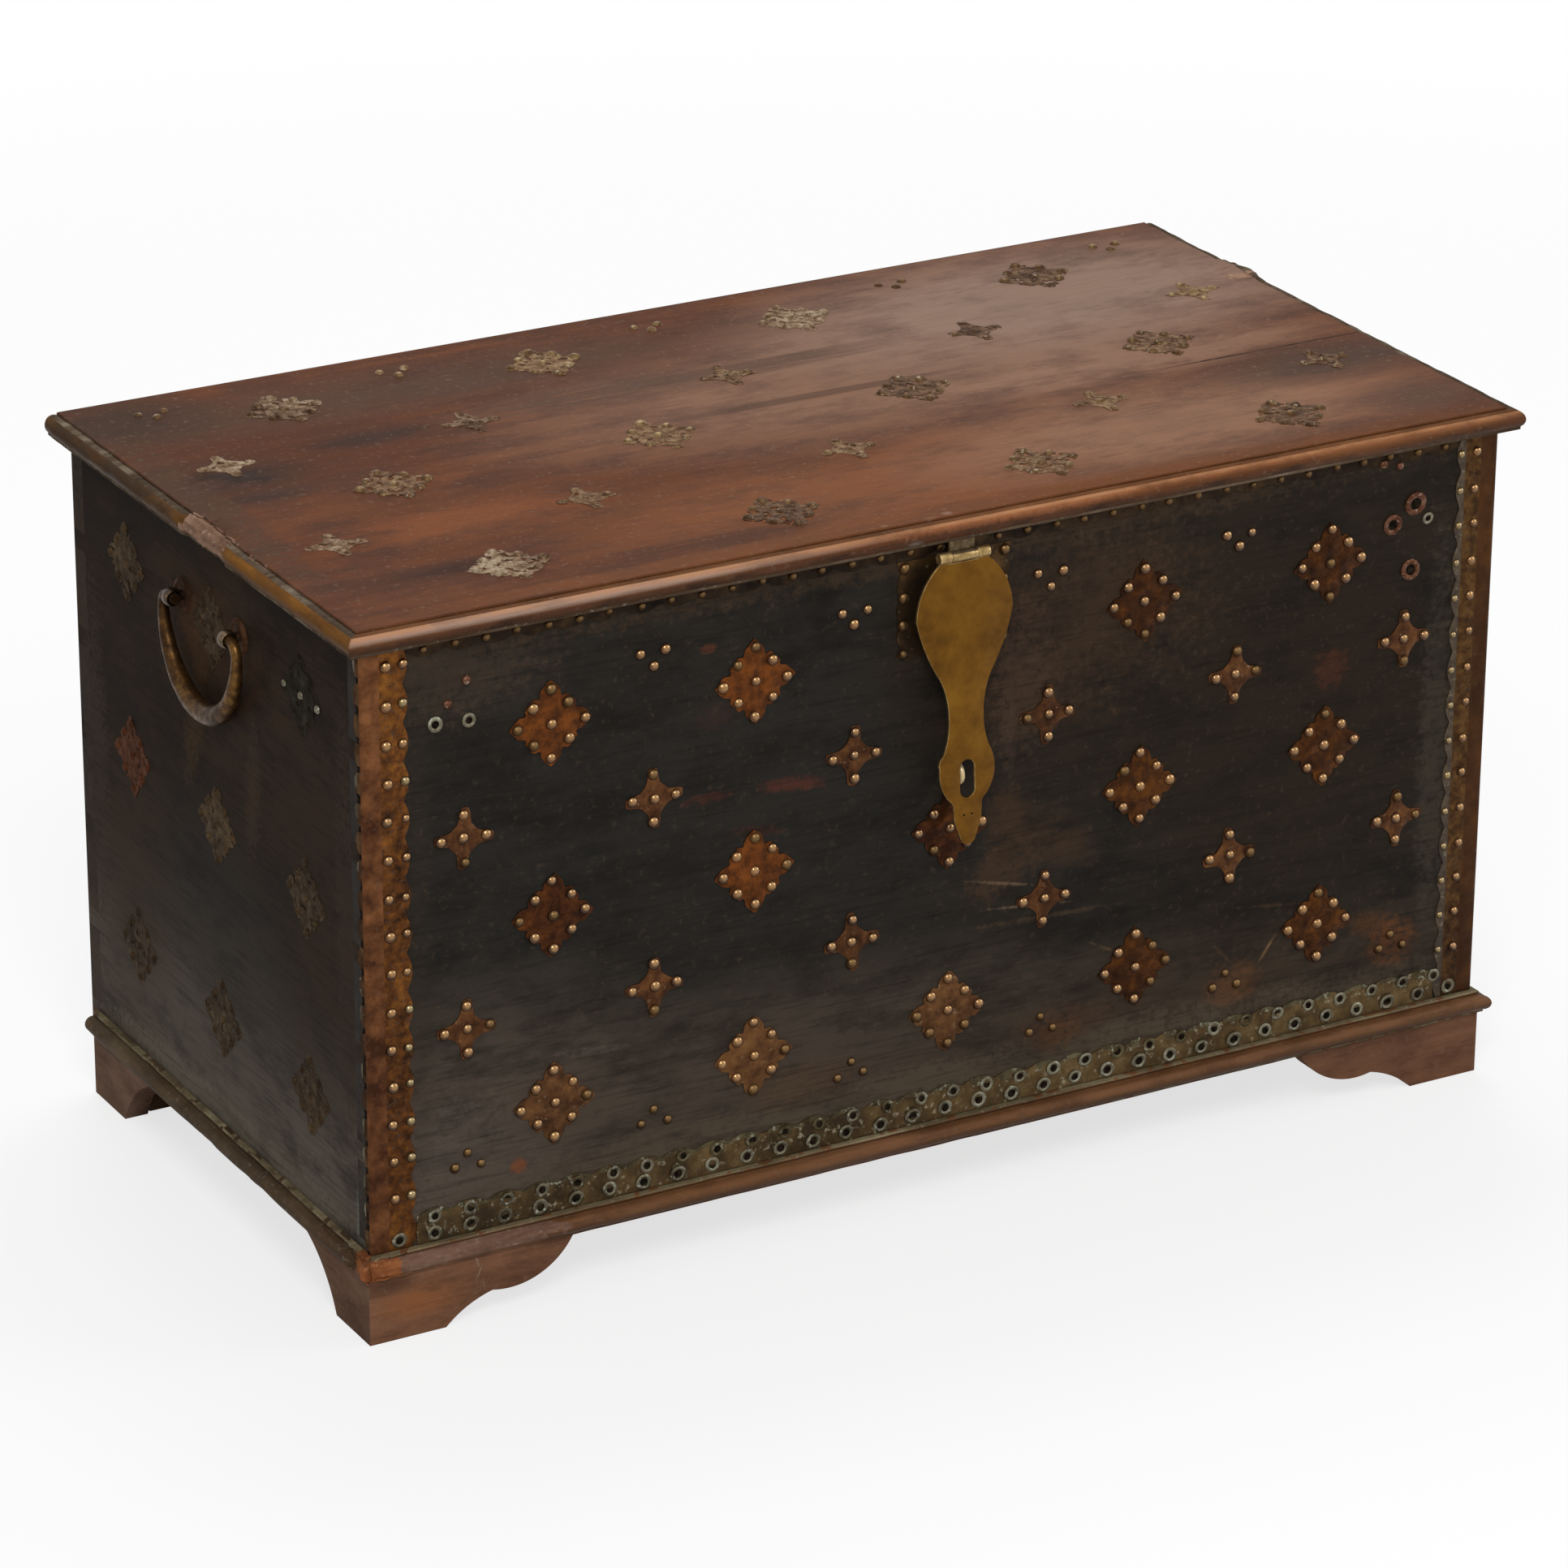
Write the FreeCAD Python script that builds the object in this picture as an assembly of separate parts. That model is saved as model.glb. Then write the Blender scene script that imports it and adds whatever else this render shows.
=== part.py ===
import FreeCAD
import Part

import math
import os

# Teak chest with brass work: a box of boards on bracket feet, a hinged lid with a moulded edge,
# a hanging hasp over a staple, a bail handle at each end, and nailed plates and domed studs.
# Millimetres. +X runs along the front to the right, the front faces -Y, +Z is up, and the floor is z = 0.

# Carcase boards
carcase_length = 1000.0
carcase_depth = 514.0
carcase_height = 488.0
board = 20.0
tail_count = 6
pin_width = 26.0
pin_flare = 5.0
plank = 18.5
plank_count = 3
plank_gap = 0.6

# Bracket feet, measured along each bracket from the foot's outer corner
foot_height = 54.0
foot_board = 20.0
foot_proud = 5.0
face_bracket_length = 174.0
face_bracket_toe = 64.0
face_cusp_run = 104.0
face_cusp_rise = 22.0
side_bracket_length = 120.0
side_bracket_toe = 58.0
toe_arc_shares = (0.48, 0.64)
cusp_arc_shares = (0.62, 0.17)
side_arc_shares = (0.36, 0.58)
foot_block = 42.0
foot_block_lift = 4.0
base_set_back = 12.0

# Base moulding: a bead over a half-round nose, nailed to the edges of the bottom planks
base_nose = 13.0
base_nose_height = 7.0
base_quirk = 6.5
base_quirk_height = 12.4
base_bead = 6.2
base_bead_foot = 4.0
base_bead_height = 4.4
base_fillet = 8.5
base_fillet_height = 1.8

# Lid and its mitred edging
lid_thickness = 18.0
lid_nose = 15.7
lid_nose_height = 8.0
lid_fillet = 12.8
lid_fillet_height = 2.8
lid_quirk = 4.6
lid_quirk_depth = 2.0
edging_seat = 14.0
cleat_width = 60.0
cleat_thickness = 22.0
cleat_end_gap = 15.0
cleat_inset = 150.0

# Butt hinges between the back board and the lid
hinge_length = 80.0
hinge_inset = 170.0
hinge_leaf = 2.0
hinge_leaf_width = 17.0
hinge_barrel_radius = 3.5
hinge_pin_radius = 1.6
hinge_axis_off = 4.0
hinge_knuckles = 5
hinge_screws = 3
screw_radius = 1.7
screw_head_radius = 3.4
screw_length = 13.0

# Hasp that hangs from the lid, measured down from its axis
hasp_axis_off = 14.0
hasp_axis_drop = 11.5
hasp_thickness = 2.5
hasp_length = 233.0
hasp_half_width = 42.5
hasp_barrel_radius = 4.5
hasp_barrel_half = 22.0
hasp_knuckle_half = 11.0
hasp_pin_radius = 2.0
hasp_slot_length = 31.0
hasp_slot_width = 13.0
hasp_slot_drop = 179.5
hasp_lean = 3.3
hasp_flange = 26.0
# The hasp's right-hand edge: shares of its half width and of its length
hasp_bulb_arc_shares = (0.86, 0.10)
hasp_bulb_shares = (1.00, 0.20)
hasp_taper_arc_shares = (0.84, 0.30)
hasp_taper_shares = (0.54, 0.41)
hasp_waist_arc_shares = (0.41, 0.475)
hasp_waist_shares = (0.36, 0.55)
hasp_neck_arc_shares = (0.38, 0.61)
hasp_neck_shares = (0.47, 0.67)
hasp_lobe_arc_shares = (0.57, 0.76)
hasp_lobe_shares = (0.34, 0.845)
hasp_tab_shares = (0.30, 0.855)
hasp_tab_foot_shares = (0.28, 0.915)
hasp_tip_shares = (0.14, 0.985)

# Staple behind the hasp's slot
staple_wire_radius = 2.2
staple_half_gap = 7.5
staple_reach = 20.0
staple_leg_depth = 16.0

# Bail handles at the ends
bail_radius = 66.0
bail_curl = 10.0
bail_end_radius = 4.2
bail_belly_radius = 8.5
bail_stub = 13.0
bail_curl_steps = 5
bail_ring_steps = 24
handle_drop = 60.0
handle_axis_off = 10.0
eye_radius = 7.5
eye_width = 9.0
eye_gap = 1.5
eye_shank_radius = 4.0
eye_peen = 3.0
rose_radius = 16.0
rose_thickness = 1.2

# Brass sheet, studs and nails
sheet = 0.8
stud_radius = 4.7
stud_height = 3.2
stud_shank_radius = 1.2
stud_shank = 9.0
ring_stud_radius = 6.4
ring_stud_height = 2.6
strap_width = 38.0
strap_return = 10.0
strap_stud_inset = 5.0
strap_stud_spread = 15.0
base_strip_width = 28.0
top_strip_width = 12.5
scallop_pitch = 15.0
scallop_depth = 3.0
strip_stud_pitch = 30.0
top_stud_pitch = 26.0
strip_gap = 0.5
base_stud_inset = 7.5
lock_plate_half = 50.0
lock_plate_height = 82.0
lock_stud_inset = 6.0
lock_stud_rows = 4
nail_radius = 1.6
nail_head_radius = 3.2
nail_head = 1.4
nail_length = 45.0
nail_pitch = 150.0
nail_line_share = 0.62
edging_nail_length = 26.0
edging_nail_pitch = 240.0
cleat_nail_bite = 8.0

# Ornament: diamond plates, four-pointed stars and triplets of bare studs
diamond_half = 32.0
diamond_lobe = 6.6
diamond_stud_share = 0.86
diamond_side_share = 0.47
star_half = 23.0
star_waist_share = 0.36
star_stud_share = 0.76
triplet_half = 11.0
front_columns = 5
front_column_margin = 155.0
front_top_margin = 86.0
front_foot_margin = 92.0
middle_row_drop = 50.0
outer_star_inset = 82.0
triplet_top = 46.0
triplet_foot = 56.0
end_column_pitch = 157.0
end_top_margin = 70.0
lid_columns = 4
lid_row_pitch = 194.0
lid_outer_star_inset = 60.0
lid_triplet_inset = 22.0
ornament_rows = 3

# Clearances
running_clearance = 0.05
knuckle_gap = 0.4
pocket_clearance = 0.8
overrun = 5.0

# Levels and planes worked out from the sizes above
carcase_foot = foot_height + plank
carcase_top = carcase_foot + carcase_height
lid_top = carcase_top + lid_thickness
half_length = carcase_length / 2
lean = math.radians(hasp_lean)
front_reach = hasp_axis_off + hasp_length * math.sin(lean) + hasp_thickness / 2 * math.cos(lean)
back_reach = lid_nose
centre_y = (front_reach - back_reach) / 2
front_y = centre_y - carcase_depth / 2
back_y = centre_y + carcase_depth / 2
lid_back_y = back_y + back_reach
hasp_axis_y = front_y - hasp_axis_off
hasp_axis_z = carcase_top - hasp_axis_drop
hinge_axis_y = back_y + hinge_axis_off
handle_axis_z = carcase_top - handle_drop

nodes = {}


def vec(x, y, z):
    return FreeCAD.Vector(x, y, z)


def block(x0, x1, y0, y1, z0, z1):
    return Part.makeBox(x1 - x0, y1 - y0, z1 - z0, vec(x0, y0, z0))


def rod(start, end, radius):
    along = end - start
    return Part.makeCylinder(radius, along.Length, start, along)


def outline_face(steps, place):
    """A flat face. Each step is a line's end, or an arc's middle and end, as (u, v) or (u, v, u, v)."""
    here = steps[0]
    edges = []
    for step in steps[1:] + steps[:1]:
        end = step[-2:]
        if len(step) == 4:
            edges.append(Part.Arc(place(*here), place(*step[:2]), place(*end)).toShape())
        else:
            edges.append(Part.makeLine(place(*here), place(*end)))
        here = end
    return Part.Face(Part.Wire(edges))


def mirrored(shape):
    return shape.mirror(vec(0, 0, 0), vec(1, 0, 0))


def joined(first, others):
    return first.fuse(others).removeSplitter()


def spread(start, end, pitch):
    """Evenly spaced places from start to end, about one pitch apart, half a pitch in from both."""
    count = max(1, round((end - start) / pitch))
    step = (end - start) / count
    return [start + step * (index + 1 / 2) for index in range(count)]


def even(start, end, count):
    step = (end - start) / (count - 1)
    return [start + step * index for index in range(count)]


def between(places):
    return [(low + high) / 2 for low, high in zip(places, places[1:])]


# Corner dovetails: the pins stand on the end boards and the tails on the front and back boards
def corner_pins(outer_x, root_x, y0):
    pitch = carcase_height / tail_count
    pins = []
    for index in range(tail_count + 1):
        middle = carcase_foot + pitch * index
        root = pin_width / 2
        tip = pin_width / 2 - pin_flare
        steps = [
            (root_x, max(middle - root, carcase_foot)),
            (outer_x, max(middle - tip, carcase_foot)),
            (outer_x, min(middle + tip, carcase_top)),
            (root_x, min(middle + root, carcase_top)),
        ]
        face = outline_face(steps, lambda x, z: vec(x, y0, z))
        pins.append(face.extrude(vec(0, board, 0)))
    return pins


left_front_pins = corner_pins(-half_length, board - half_length, front_y)
left_back_pins = corner_pins(-half_length, board - half_length, back_y - board)
right_front_pins = [mirrored(pin) for pin in left_front_pins]
right_back_pins = [mirrored(pin) for pin in left_back_pins]

front_board = block(-half_length, half_length, front_y, front_y + board, carcase_foot, carcase_top)
nodes["front_board"] = front_board.cut(left_front_pins + right_front_pins)
back_board = block(-half_length, half_length, back_y - board, back_y, carcase_foot, carcase_top)
back_board = back_board.cut(left_back_pins + right_back_pins)
end_board = block(
    -half_length, board - half_length, front_y + board, back_y - board, carcase_foot, carcase_top
)
nodes["left_end_board"] = joined(end_board, left_front_pins + left_back_pins)
nodes["right_end_board"] = mirrored(nodes["left_end_board"])

# Bottom planks under the carcase, running along its length
plank_step = carcase_depth / plank_count
for index, name in enumerate(["front", "middle", "back"]):
    near = front_y + plank_step * index + (plank_gap / 2 if index else 0)
    far = front_y + plank_step * (index + 1) - (plank_gap / 2 if index < plank_count - 1 else 0)
    nodes["bottom_plank_" + name] = block(-half_length, half_length, near, far, foot_height, carcase_foot)


# Mitred runs of a moulding: u is the distance out from the carcase's face, v the height
def mitre_wedge(side_piece, size):
    corner = (size - half_length, front_y - size) if side_piece else (-half_length - size, front_y + size)
    points = [(size - half_length, front_y + size), (-half_length - size, front_y - size), corner]
    face = outline_face(points, lambda x, y: vec(x, y, 0))
    return face.extrude(vec(0, 0, lid_top + overrun))


def front_run(steps, base_z, size):
    start = -half_length - size
    face = outline_face(steps, lambda u, v: vec(start, front_y - u, base_z + v))
    run = face.extrude(vec(-2 * start, 0, 0))
    wedge = mitre_wedge(False, size + overrun)
    return run.cut([wedge, mirrored(wedge)])


def left_run(steps, base_z, size, end_y):
    start = front_y - size
    face = outline_face(steps, lambda u, v: vec(-half_length - u, start, base_z + v))
    run = face.extrude(vec(0, end_y - start, 0))
    return run.cut(mitre_wedge(True, size + overrun))


base_profile = [
    (0, 0),
    (base_fillet, 0),
    (base_fillet, base_fillet_height),
    (base_nose, base_nose_height, base_quirk, base_quirk_height),
    (base_bead_foot, plank - base_bead_height),
    (base_bead, plank - base_bead_height / 2, base_bead_foot, plank),
    (0, plank),
]
nodes["base_moulding_front"] = front_run(base_profile, foot_height, base_nose)
nodes["base_moulding_left"] = left_run(base_profile, foot_height, base_nose, back_y - base_set_back)
nodes["base_moulding_right"] = mirrored(nodes["base_moulding_left"])


# Bracket feet: s runs from the foot's outer corner along the bracket
def arc_point(start, end, shares):
    return tuple(low + (high - low) * share for low, high, share in zip(start, end, shares))


toe = (face_bracket_toe, 0)
cusp = (face_cusp_run, face_cusp_rise)
face_end = (face_bracket_length, foot_height)
face_bracket = [
    (0, 0),
    toe,
    arc_point(toe, cusp, toe_arc_shares) + cusp,
    arc_point(cusp, face_end, cusp_arc_shares) + face_end,
    (0, foot_height),
]
side_toe = (side_bracket_toe, 0)
side_end = (side_bracket_length, foot_height)
side_bracket = [(0, 0), side_toe, arc_point(side_toe, side_end, side_arc_shares) + side_end, (0, foot_height)]

foot_left = -half_length - foot_proud
foot_front = front_y - foot_proud
foot_back = back_y - base_set_back


def across(steps, y, way):
    """A bracket that faces the front or the back, from the left corner, foot_board thick."""
    face = outline_face(steps, lambda s, z: vec(foot_left + s, y, z))
    return face.extrude(vec(0, foot_board * way, 0))


def along(steps, y, way):
    """A bracket on the left side that starts at y and runs towards the middle of the depth."""
    face = outline_face(steps, lambda s, z: vec(foot_left, y + s * way, z))
    return face.extrude(vec(foot_board, 0, 0))


def foot_mitre(y, way, side_piece):
    size = foot_board + overrun
    corner = (foot_left + size, y - size * way) if side_piece else (foot_left - size, y + size * way)
    points = [(foot_left + size, y + size * way), (foot_left - size, y - size * way), corner]
    face = outline_face(points, lambda x, z: vec(x, z, 0))
    return face.extrude(vec(0, 0, foot_height))


def foot_pair(name, y, way, face_steps, face_name):
    nodes["foot_" + name + "_left_" + face_name] = across(face_steps, y, way).cut(foot_mitre(y, way, False))
    nodes["foot_" + name + "_left_side"] = along(side_bracket, y, way).cut(foot_mitre(y, way, True))
    inner_x = foot_left + foot_board
    near = y + foot_board * way
    low_y, high_y = sorted([near, near + foot_block * way])
    return block(inner_x, inner_x + foot_block, low_y, high_y, foot_block_lift, foot_height)


front_block = foot_pair("front", foot_front, 1, face_bracket, "face")
back_block = foot_pair("back", foot_back, -1, side_bracket, "rear")
for name in [name for name in nodes if name.startswith("foot_")]:
    nodes[name.replace("_left_", "_right_")] = mirrored(nodes[name])
foot_blocks = [front_block, back_block]
nodes["foot_glue_blocks"] = Part.makeCompound(foot_blocks + [mirrored(solid) for solid in foot_blocks])

# Lid: a wide board with edging mitred round its front and ends, and two cleats beneath
lid_profile = [
    (-edging_seat, 0),
    (lid_fillet, 0),
    (lid_fillet, lid_fillet_height),
    (lid_nose, lid_nose_height, lid_quirk, lid_thickness - lid_quirk_depth),
    (lid_quirk, lid_thickness),
    (-edging_seat, lid_thickness),
]
edging_span = lid_nose + edging_seat
lid_edging_front = front_run(lid_profile, carcase_top, edging_span)
nodes["lid_edging_left"] = left_run(lid_profile, carcase_top, edging_span, lid_back_y)
nodes["lid_edging_right"] = mirrored(nodes["lid_edging_left"])
lid_half = half_length - edging_seat
lid_board = block(-lid_half, lid_half, front_y + edging_seat, lid_back_y, carcase_top, lid_top)
cleat_x = half_length - cleat_inset
cleat_front = front_y + board + cleat_end_gap
cleat_back = back_y - board - cleat_end_gap
cleat = block(
    -cleat_x, cleat_width - cleat_x, cleat_front, cleat_back, carcase_top - cleat_thickness, carcase_top
)
nodes["lid_cleat_left"] = cleat
nodes["lid_cleat_right"] = mirrored(cleat)


# Butt hinges: the leaves lie in the joint, and the barrel is behind the back board
def countersunk_screw(x, y, way):
    head = Part.makeCone(screw_head_radius, screw_radius, hinge_leaf, vec(x, y, carcase_top), vec(0, 0, way))
    shank = rod(vec(x, y, carcase_top), vec(x, y, carcase_top + screw_length * way), screw_radius)
    return head.fuse(shank).removeSplitter()


def hinge_leaf_solid(left_x, way, first_knuckle):
    """A leaf below the joint (way -1) or above it (way 1), with every second knuckle from the first."""
    low_z, high_z = sorted([carcase_top, carcase_top + hinge_leaf * way])
    plate_end = hinge_axis_y - hinge_barrel_radius - knuckle_gap
    leaf = block(left_x, left_x + hinge_length, back_y - hinge_leaf_width, plate_end, low_z, high_z)
    pitch = hinge_length / hinge_knuckles
    barrels = []
    for index in range(first_knuckle, hinge_knuckles, 2):
        start = left_x + pitch * index + knuckle_gap / 2
        end = left_x + pitch * (index + 1) - knuckle_gap / 2
        axis_start = vec(start, hinge_axis_y, carcase_top)
        barrels.append(rod(axis_start, vec(end, hinge_axis_y, carcase_top), hinge_barrel_radius))
        barrels.append(block(start, end, plate_end, hinge_axis_y, low_z, high_z))
    return joined(leaf, barrels)


def hinge_bore(left_x, radius):
    start = vec(left_x - overrun, hinge_axis_y, carcase_top)
    return rod(start, vec(left_x + hinge_length + overrun, hinge_axis_y, carcase_top), radius)


hinge_pins = []
carcase_screws = []
lid_screws = []
for side, middle in [("left", hinge_inset - half_length), ("right", half_length - hinge_inset)]:
    left_x = middle - hinge_length / 2
    right_x = left_x + hinge_length
    carcase_leaf = hinge_leaf_solid(left_x, -1, 0)
    lid_leaf = hinge_leaf_solid(left_x, 1, 1)
    nodes["hinge_" + side + "_carcase_leaf"] = carcase_leaf.cut(hinge_bore(left_x, hinge_pin_radius))
    lid_bore = hinge_bore(left_x, hinge_pin_radius + running_clearance)
    nodes["hinge_" + side + "_lid_leaf"] = lid_leaf.cut(lid_bore)
    pin_start = vec(left_x, hinge_axis_y, carcase_top)
    hinge_pins.append(rod(pin_start, vec(right_x, hinge_axis_y, carcase_top), hinge_pin_radius))
    seat = back_y - hinge_leaf_width
    back_board = back_board.cut(
        block(left_x, right_x, seat, back_y + overrun, carcase_top - hinge_leaf, carcase_top + overrun)
    )
    pocket_start = vec(left_x - pocket_clearance, hinge_axis_y, carcase_top)
    pocket_end = vec(right_x + pocket_clearance, hinge_axis_y, carcase_top)
    pocket = rod(pocket_start, pocket_end, hinge_barrel_radius + pocket_clearance)
    lid_recess = block(left_x, right_x, seat, hinge_axis_y, carcase_top - overrun, carcase_top + hinge_leaf)
    lid_board = lid_board.cut([pocket, lid_recess])
    for x in spread(left_x, right_x, hinge_length / hinge_screws):
        carcase_screws.append(countersunk_screw(x, back_y - hinge_leaf_width / 2, -1))
        lid_screws.append(countersunk_screw(x, back_y - hinge_leaf_width / 2, 1))
nodes["back_board"] = back_board
nodes["hinge_pins"] = Part.makeCompound(hinge_pins)
nodes["hinge_carcase_screws"] = Part.makeCompound(carcase_screws)
nodes["hinge_lid_screws"] = Part.makeCompound(lid_screws)

# The hasp's lid leaf: a flange let into the lid's underside, a leg, and the middle knuckle
leg_back = hasp_axis_y + hasp_barrel_radius
leg_front = leg_back - hasp_thickness
flange_back = front_y + hasp_flange
flange_top = carcase_top + hasp_thickness
leaf_flange = block(
    -hasp_knuckle_half, hasp_knuckle_half, leg_front, flange_back, carcase_top, flange_top
)
leaf_leg = block(-hasp_knuckle_half, hasp_knuckle_half, leg_front, leg_back, hasp_axis_z, carcase_top)
axis_left = vec(-hasp_knuckle_half, hasp_axis_y, hasp_axis_z)
axis_right = vec(hasp_knuckle_half, hasp_axis_y, hasp_axis_z)
leaf_knuckle = rod(axis_left, axis_right, hasp_barrel_radius)
pin_left = vec(-hasp_barrel_half, hasp_axis_y, hasp_axis_z)
pin_right = vec(hasp_barrel_half, hasp_axis_y, hasp_axis_z)
nodes["hasp_pin"] = rod(pin_left, pin_right, hasp_pin_radius)
nodes["hasp_lid_leaf"] = joined(leaf_flange, [leaf_leg, leaf_knuckle]).cut(nodes["hasp_pin"])
flange_seat = block(
    -hasp_knuckle_half, hasp_knuckle_half, leg_front, flange_back, carcase_top - overrun, flange_top
)
lid_board = lid_board.cut(flange_seat)
nodes["lid_edging_front"] = lid_edging_front.cut(flange_seat)
nodes["lid_board"] = lid_board

# The hasp: a flat plate with a slot and two outer knuckles, leaning out a little past the staple
hasp_top = hasp_barrel_radius + knuckle_gap


def hasp_point(shares):
    return (hasp_half_width * shares[0], hasp_length * shares[1])


def hasp_edge(side):
    """The steps down the right edge, or the same edge on the left from the tip up."""
    stops = [
        ((hasp_barrel_half, hasp_top),),
        (hasp_point(hasp_bulb_arc_shares), hasp_point(hasp_bulb_shares)),
        (hasp_point(hasp_taper_arc_shares), hasp_point(hasp_taper_shares)),
        (hasp_point(hasp_waist_arc_shares), hasp_point(hasp_waist_shares)),
        (hasp_point(hasp_neck_arc_shares), hasp_point(hasp_neck_shares)),
        (hasp_point(hasp_lobe_arc_shares), hasp_point(hasp_lobe_shares)),
        (hasp_point(hasp_tab_shares),),
        (hasp_point(hasp_tab_foot_shares),),
        (hasp_point(hasp_tip_shares),),
    ]
    if side > 0:
        return [sum(stop, ()) for stop in stops]
    ends = [stop[-1] for stop in stops]
    middles = [stop[0] if len(stop) == 2 else None for stop in stops]
    steps = []
    for index in range(len(stops) - 2, -1, -1):
        middle = middles[index + 1]
        points = (middle, ends[index]) if middle else (ends[index],)
        steps.append(sum([(-u, v) for u, v in points], ()))
    return steps


tip_x, tip_drop = hasp_point(hasp_tip_shares)
hasp_steps = hasp_edge(1) + [(0, hasp_length, -tip_x, tip_drop)] + hasp_edge(-1)
hasp_back = hasp_axis_y + hasp_thickness / 2
hasp_face = outline_face(hasp_steps, lambda u, v: vec(u, hasp_back, hasp_axis_z - v))
hasp = hasp_face.extrude(vec(0, -hasp_thickness, 0))
inner_half = hasp_knuckle_half + knuckle_gap
knuckles = []
for start, end in [(-hasp_barrel_half, -inner_half), (inner_half, hasp_barrel_half)]:
    knuckle_start = vec(start, hasp_axis_y, hasp_axis_z)
    knuckles.append(rod(knuckle_start, vec(end, hasp_axis_y, hasp_axis_z), hasp_barrel_radius))
    neck_foot = hasp_axis_z - hasp_top
    knuckles.append(block(start, end, hasp_back - hasp_thickness, hasp_back, neck_foot, hasp_axis_z))
bore_end = vec(overrun, 0, 0)
hasp_bore = rod(pin_left - bore_end, pin_right + bore_end, hasp_pin_radius + running_clearance)
slot_z = hasp_axis_z - hasp_slot_drop
slot_radius = hasp_slot_width / 2
slot_half = hasp_slot_length / 2 - slot_radius
slot_front = hasp_axis_y - hasp_thickness - overrun
slot_back = hasp_axis_y + hasp_thickness + overrun
slot_cuts = [block(-slot_radius, slot_radius, slot_front, slot_back, slot_z - slot_half, slot_z + slot_half)]
for end_z in [slot_z - slot_half, slot_z + slot_half]:
    slot_cuts.append(rod(vec(0, slot_front, end_z), vec(0, slot_back, end_z), slot_radius))
hasp = joined(hasp, knuckles).cut([hasp_bore] + slot_cuts)
hasp.rotate(vec(0, hasp_axis_y, hasp_axis_z), vec(-1, 0, 0), hasp_lean)
nodes["hasp"] = hasp

# Staple: a wire loop in an upright plane, driven into the front board
bend_y = front_y - staple_reach + staple_wire_radius + staple_half_gap
leg_end_y = front_y + staple_leg_depth
wire = Part.Wire(
    Part.makeCircle(staple_wire_radius, vec(0, bend_y, slot_z + staple_half_gap), vec(0, 1, 0))
)
bend = Part.Face(wire).revolve(vec(0, bend_y, slot_z), vec(1, 0, 0), 180)
legs = []
for leg_z in [slot_z - staple_half_gap, slot_z + staple_half_gap]:
    legs.append(rod(vec(0, bend_y, leg_z), vec(0, leg_end_y, leg_z), staple_wire_radius))
nodes["staple"] = joined(bend, legs)

# Bail handles: a half ring that swells at its belly, with ends curled in to stubs on the axis
left_axis_x = -half_length - handle_axis_off
stub_y = bail_radius - bail_curl
ring_z = handle_axis_z - bail_curl


def bail_ring(angle):
    """A section of the half ring, at an angle from its front end, thickest at the bottom."""
    radius = bail_end_radius + (bail_belly_radius - bail_end_radius) * math.sin(angle)
    place = vec(left_axis_x, centre_y - bail_radius * math.cos(angle), ring_z - bail_radius * math.sin(angle))
    course = vec(0, math.sin(angle), -math.cos(angle))
    return Part.Wire(Part.makeCircle(radius, place, course))


def bail_end(angle, start_y, way):
    """A section of one curled end, level at its stub and plumb where it meets the half ring."""
    out = start_y + bail_curl * math.sin(angle)
    place = vec(left_axis_x, centre_y + out * way, ring_z + bail_curl * math.cos(angle))
    course = vec(0, -math.cos(angle), math.sin(angle) * way)
    return Part.Wire(Part.makeCircle(bail_end_radius, place, course))


def curled_end(way):
    """The sections of one end, from the tip of its stub to just short of the half ring."""
    turns = [math.pi / 2 * step / bail_curl_steps for step in range(bail_curl_steps)]
    return [bail_end(0, stub_y - bail_stub, way)] + [bail_end(turn, stub_y, way) for turn in turns]


half_ring = [bail_ring(math.pi * step / bail_ring_steps) for step in range(bail_ring_steps + 1)]
bail_sections = curled_end(-1) + half_ring + curled_end(1)[::-1]
nodes["handle_left_bail"] = Part.makeLoft(bail_sections, True, True)
nodes["handle_right_bail"] = mirrored(nodes["handle_left_bail"])

# Eyes that carry the bails: each shank goes through its rose and the end board, and is peened inside
eyes = []
roses = []
for way in [-1, 1]:
    outer = centre_y + (stub_y - eye_gap) * way
    inner = outer - eye_width * way
    middle = vec(left_axis_x, (outer + inner) / 2, handle_axis_z)
    eye = rod(vec(left_axis_x, outer, handle_axis_z), vec(left_axis_x, inner, handle_axis_z), eye_radius)
    shank_end = vec(board - half_length + eye_peen, middle.y, handle_axis_z)
    bore_radius = bail_end_radius + running_clearance
    bore = rod(middle - vec(0, eye_width, 0), middle + vec(0, eye_width, 0), bore_radius)
    eyes.append(joined(eye, [rod(middle, shank_end, eye_shank_radius)]).cut(bore))
    rose_place = vec(-half_length, middle.y, handle_axis_z)
    roses.append(rod(rose_place, rose_place - vec(rose_thickness, 0, 0), rose_radius))
roses = [rose.cut(eyes) for rose in roses]
nodes["handle_eyes"] = Part.makeCompound(eyes + [mirrored(eye) for eye in eyes])
nodes["handle_roses"] = Part.makeCompound(roses + [mirrored(rose) for rose in roses])


# Brass strips with scalloped edges: u runs along the strip, v across it from the straight edge
def scalloped_face(length, width, place):
    count = max(1, round(length / scallop_pitch))
    pitch = length / count
    low = width - scallop_depth
    steps = [(0, 0), (length, 0), (length, low)]
    for index in range(count, 0, -1):
        steps.append((pitch * (index - 1 / 2), width, pitch * (index - 1), low))
    return outline_face(steps, place)


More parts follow.
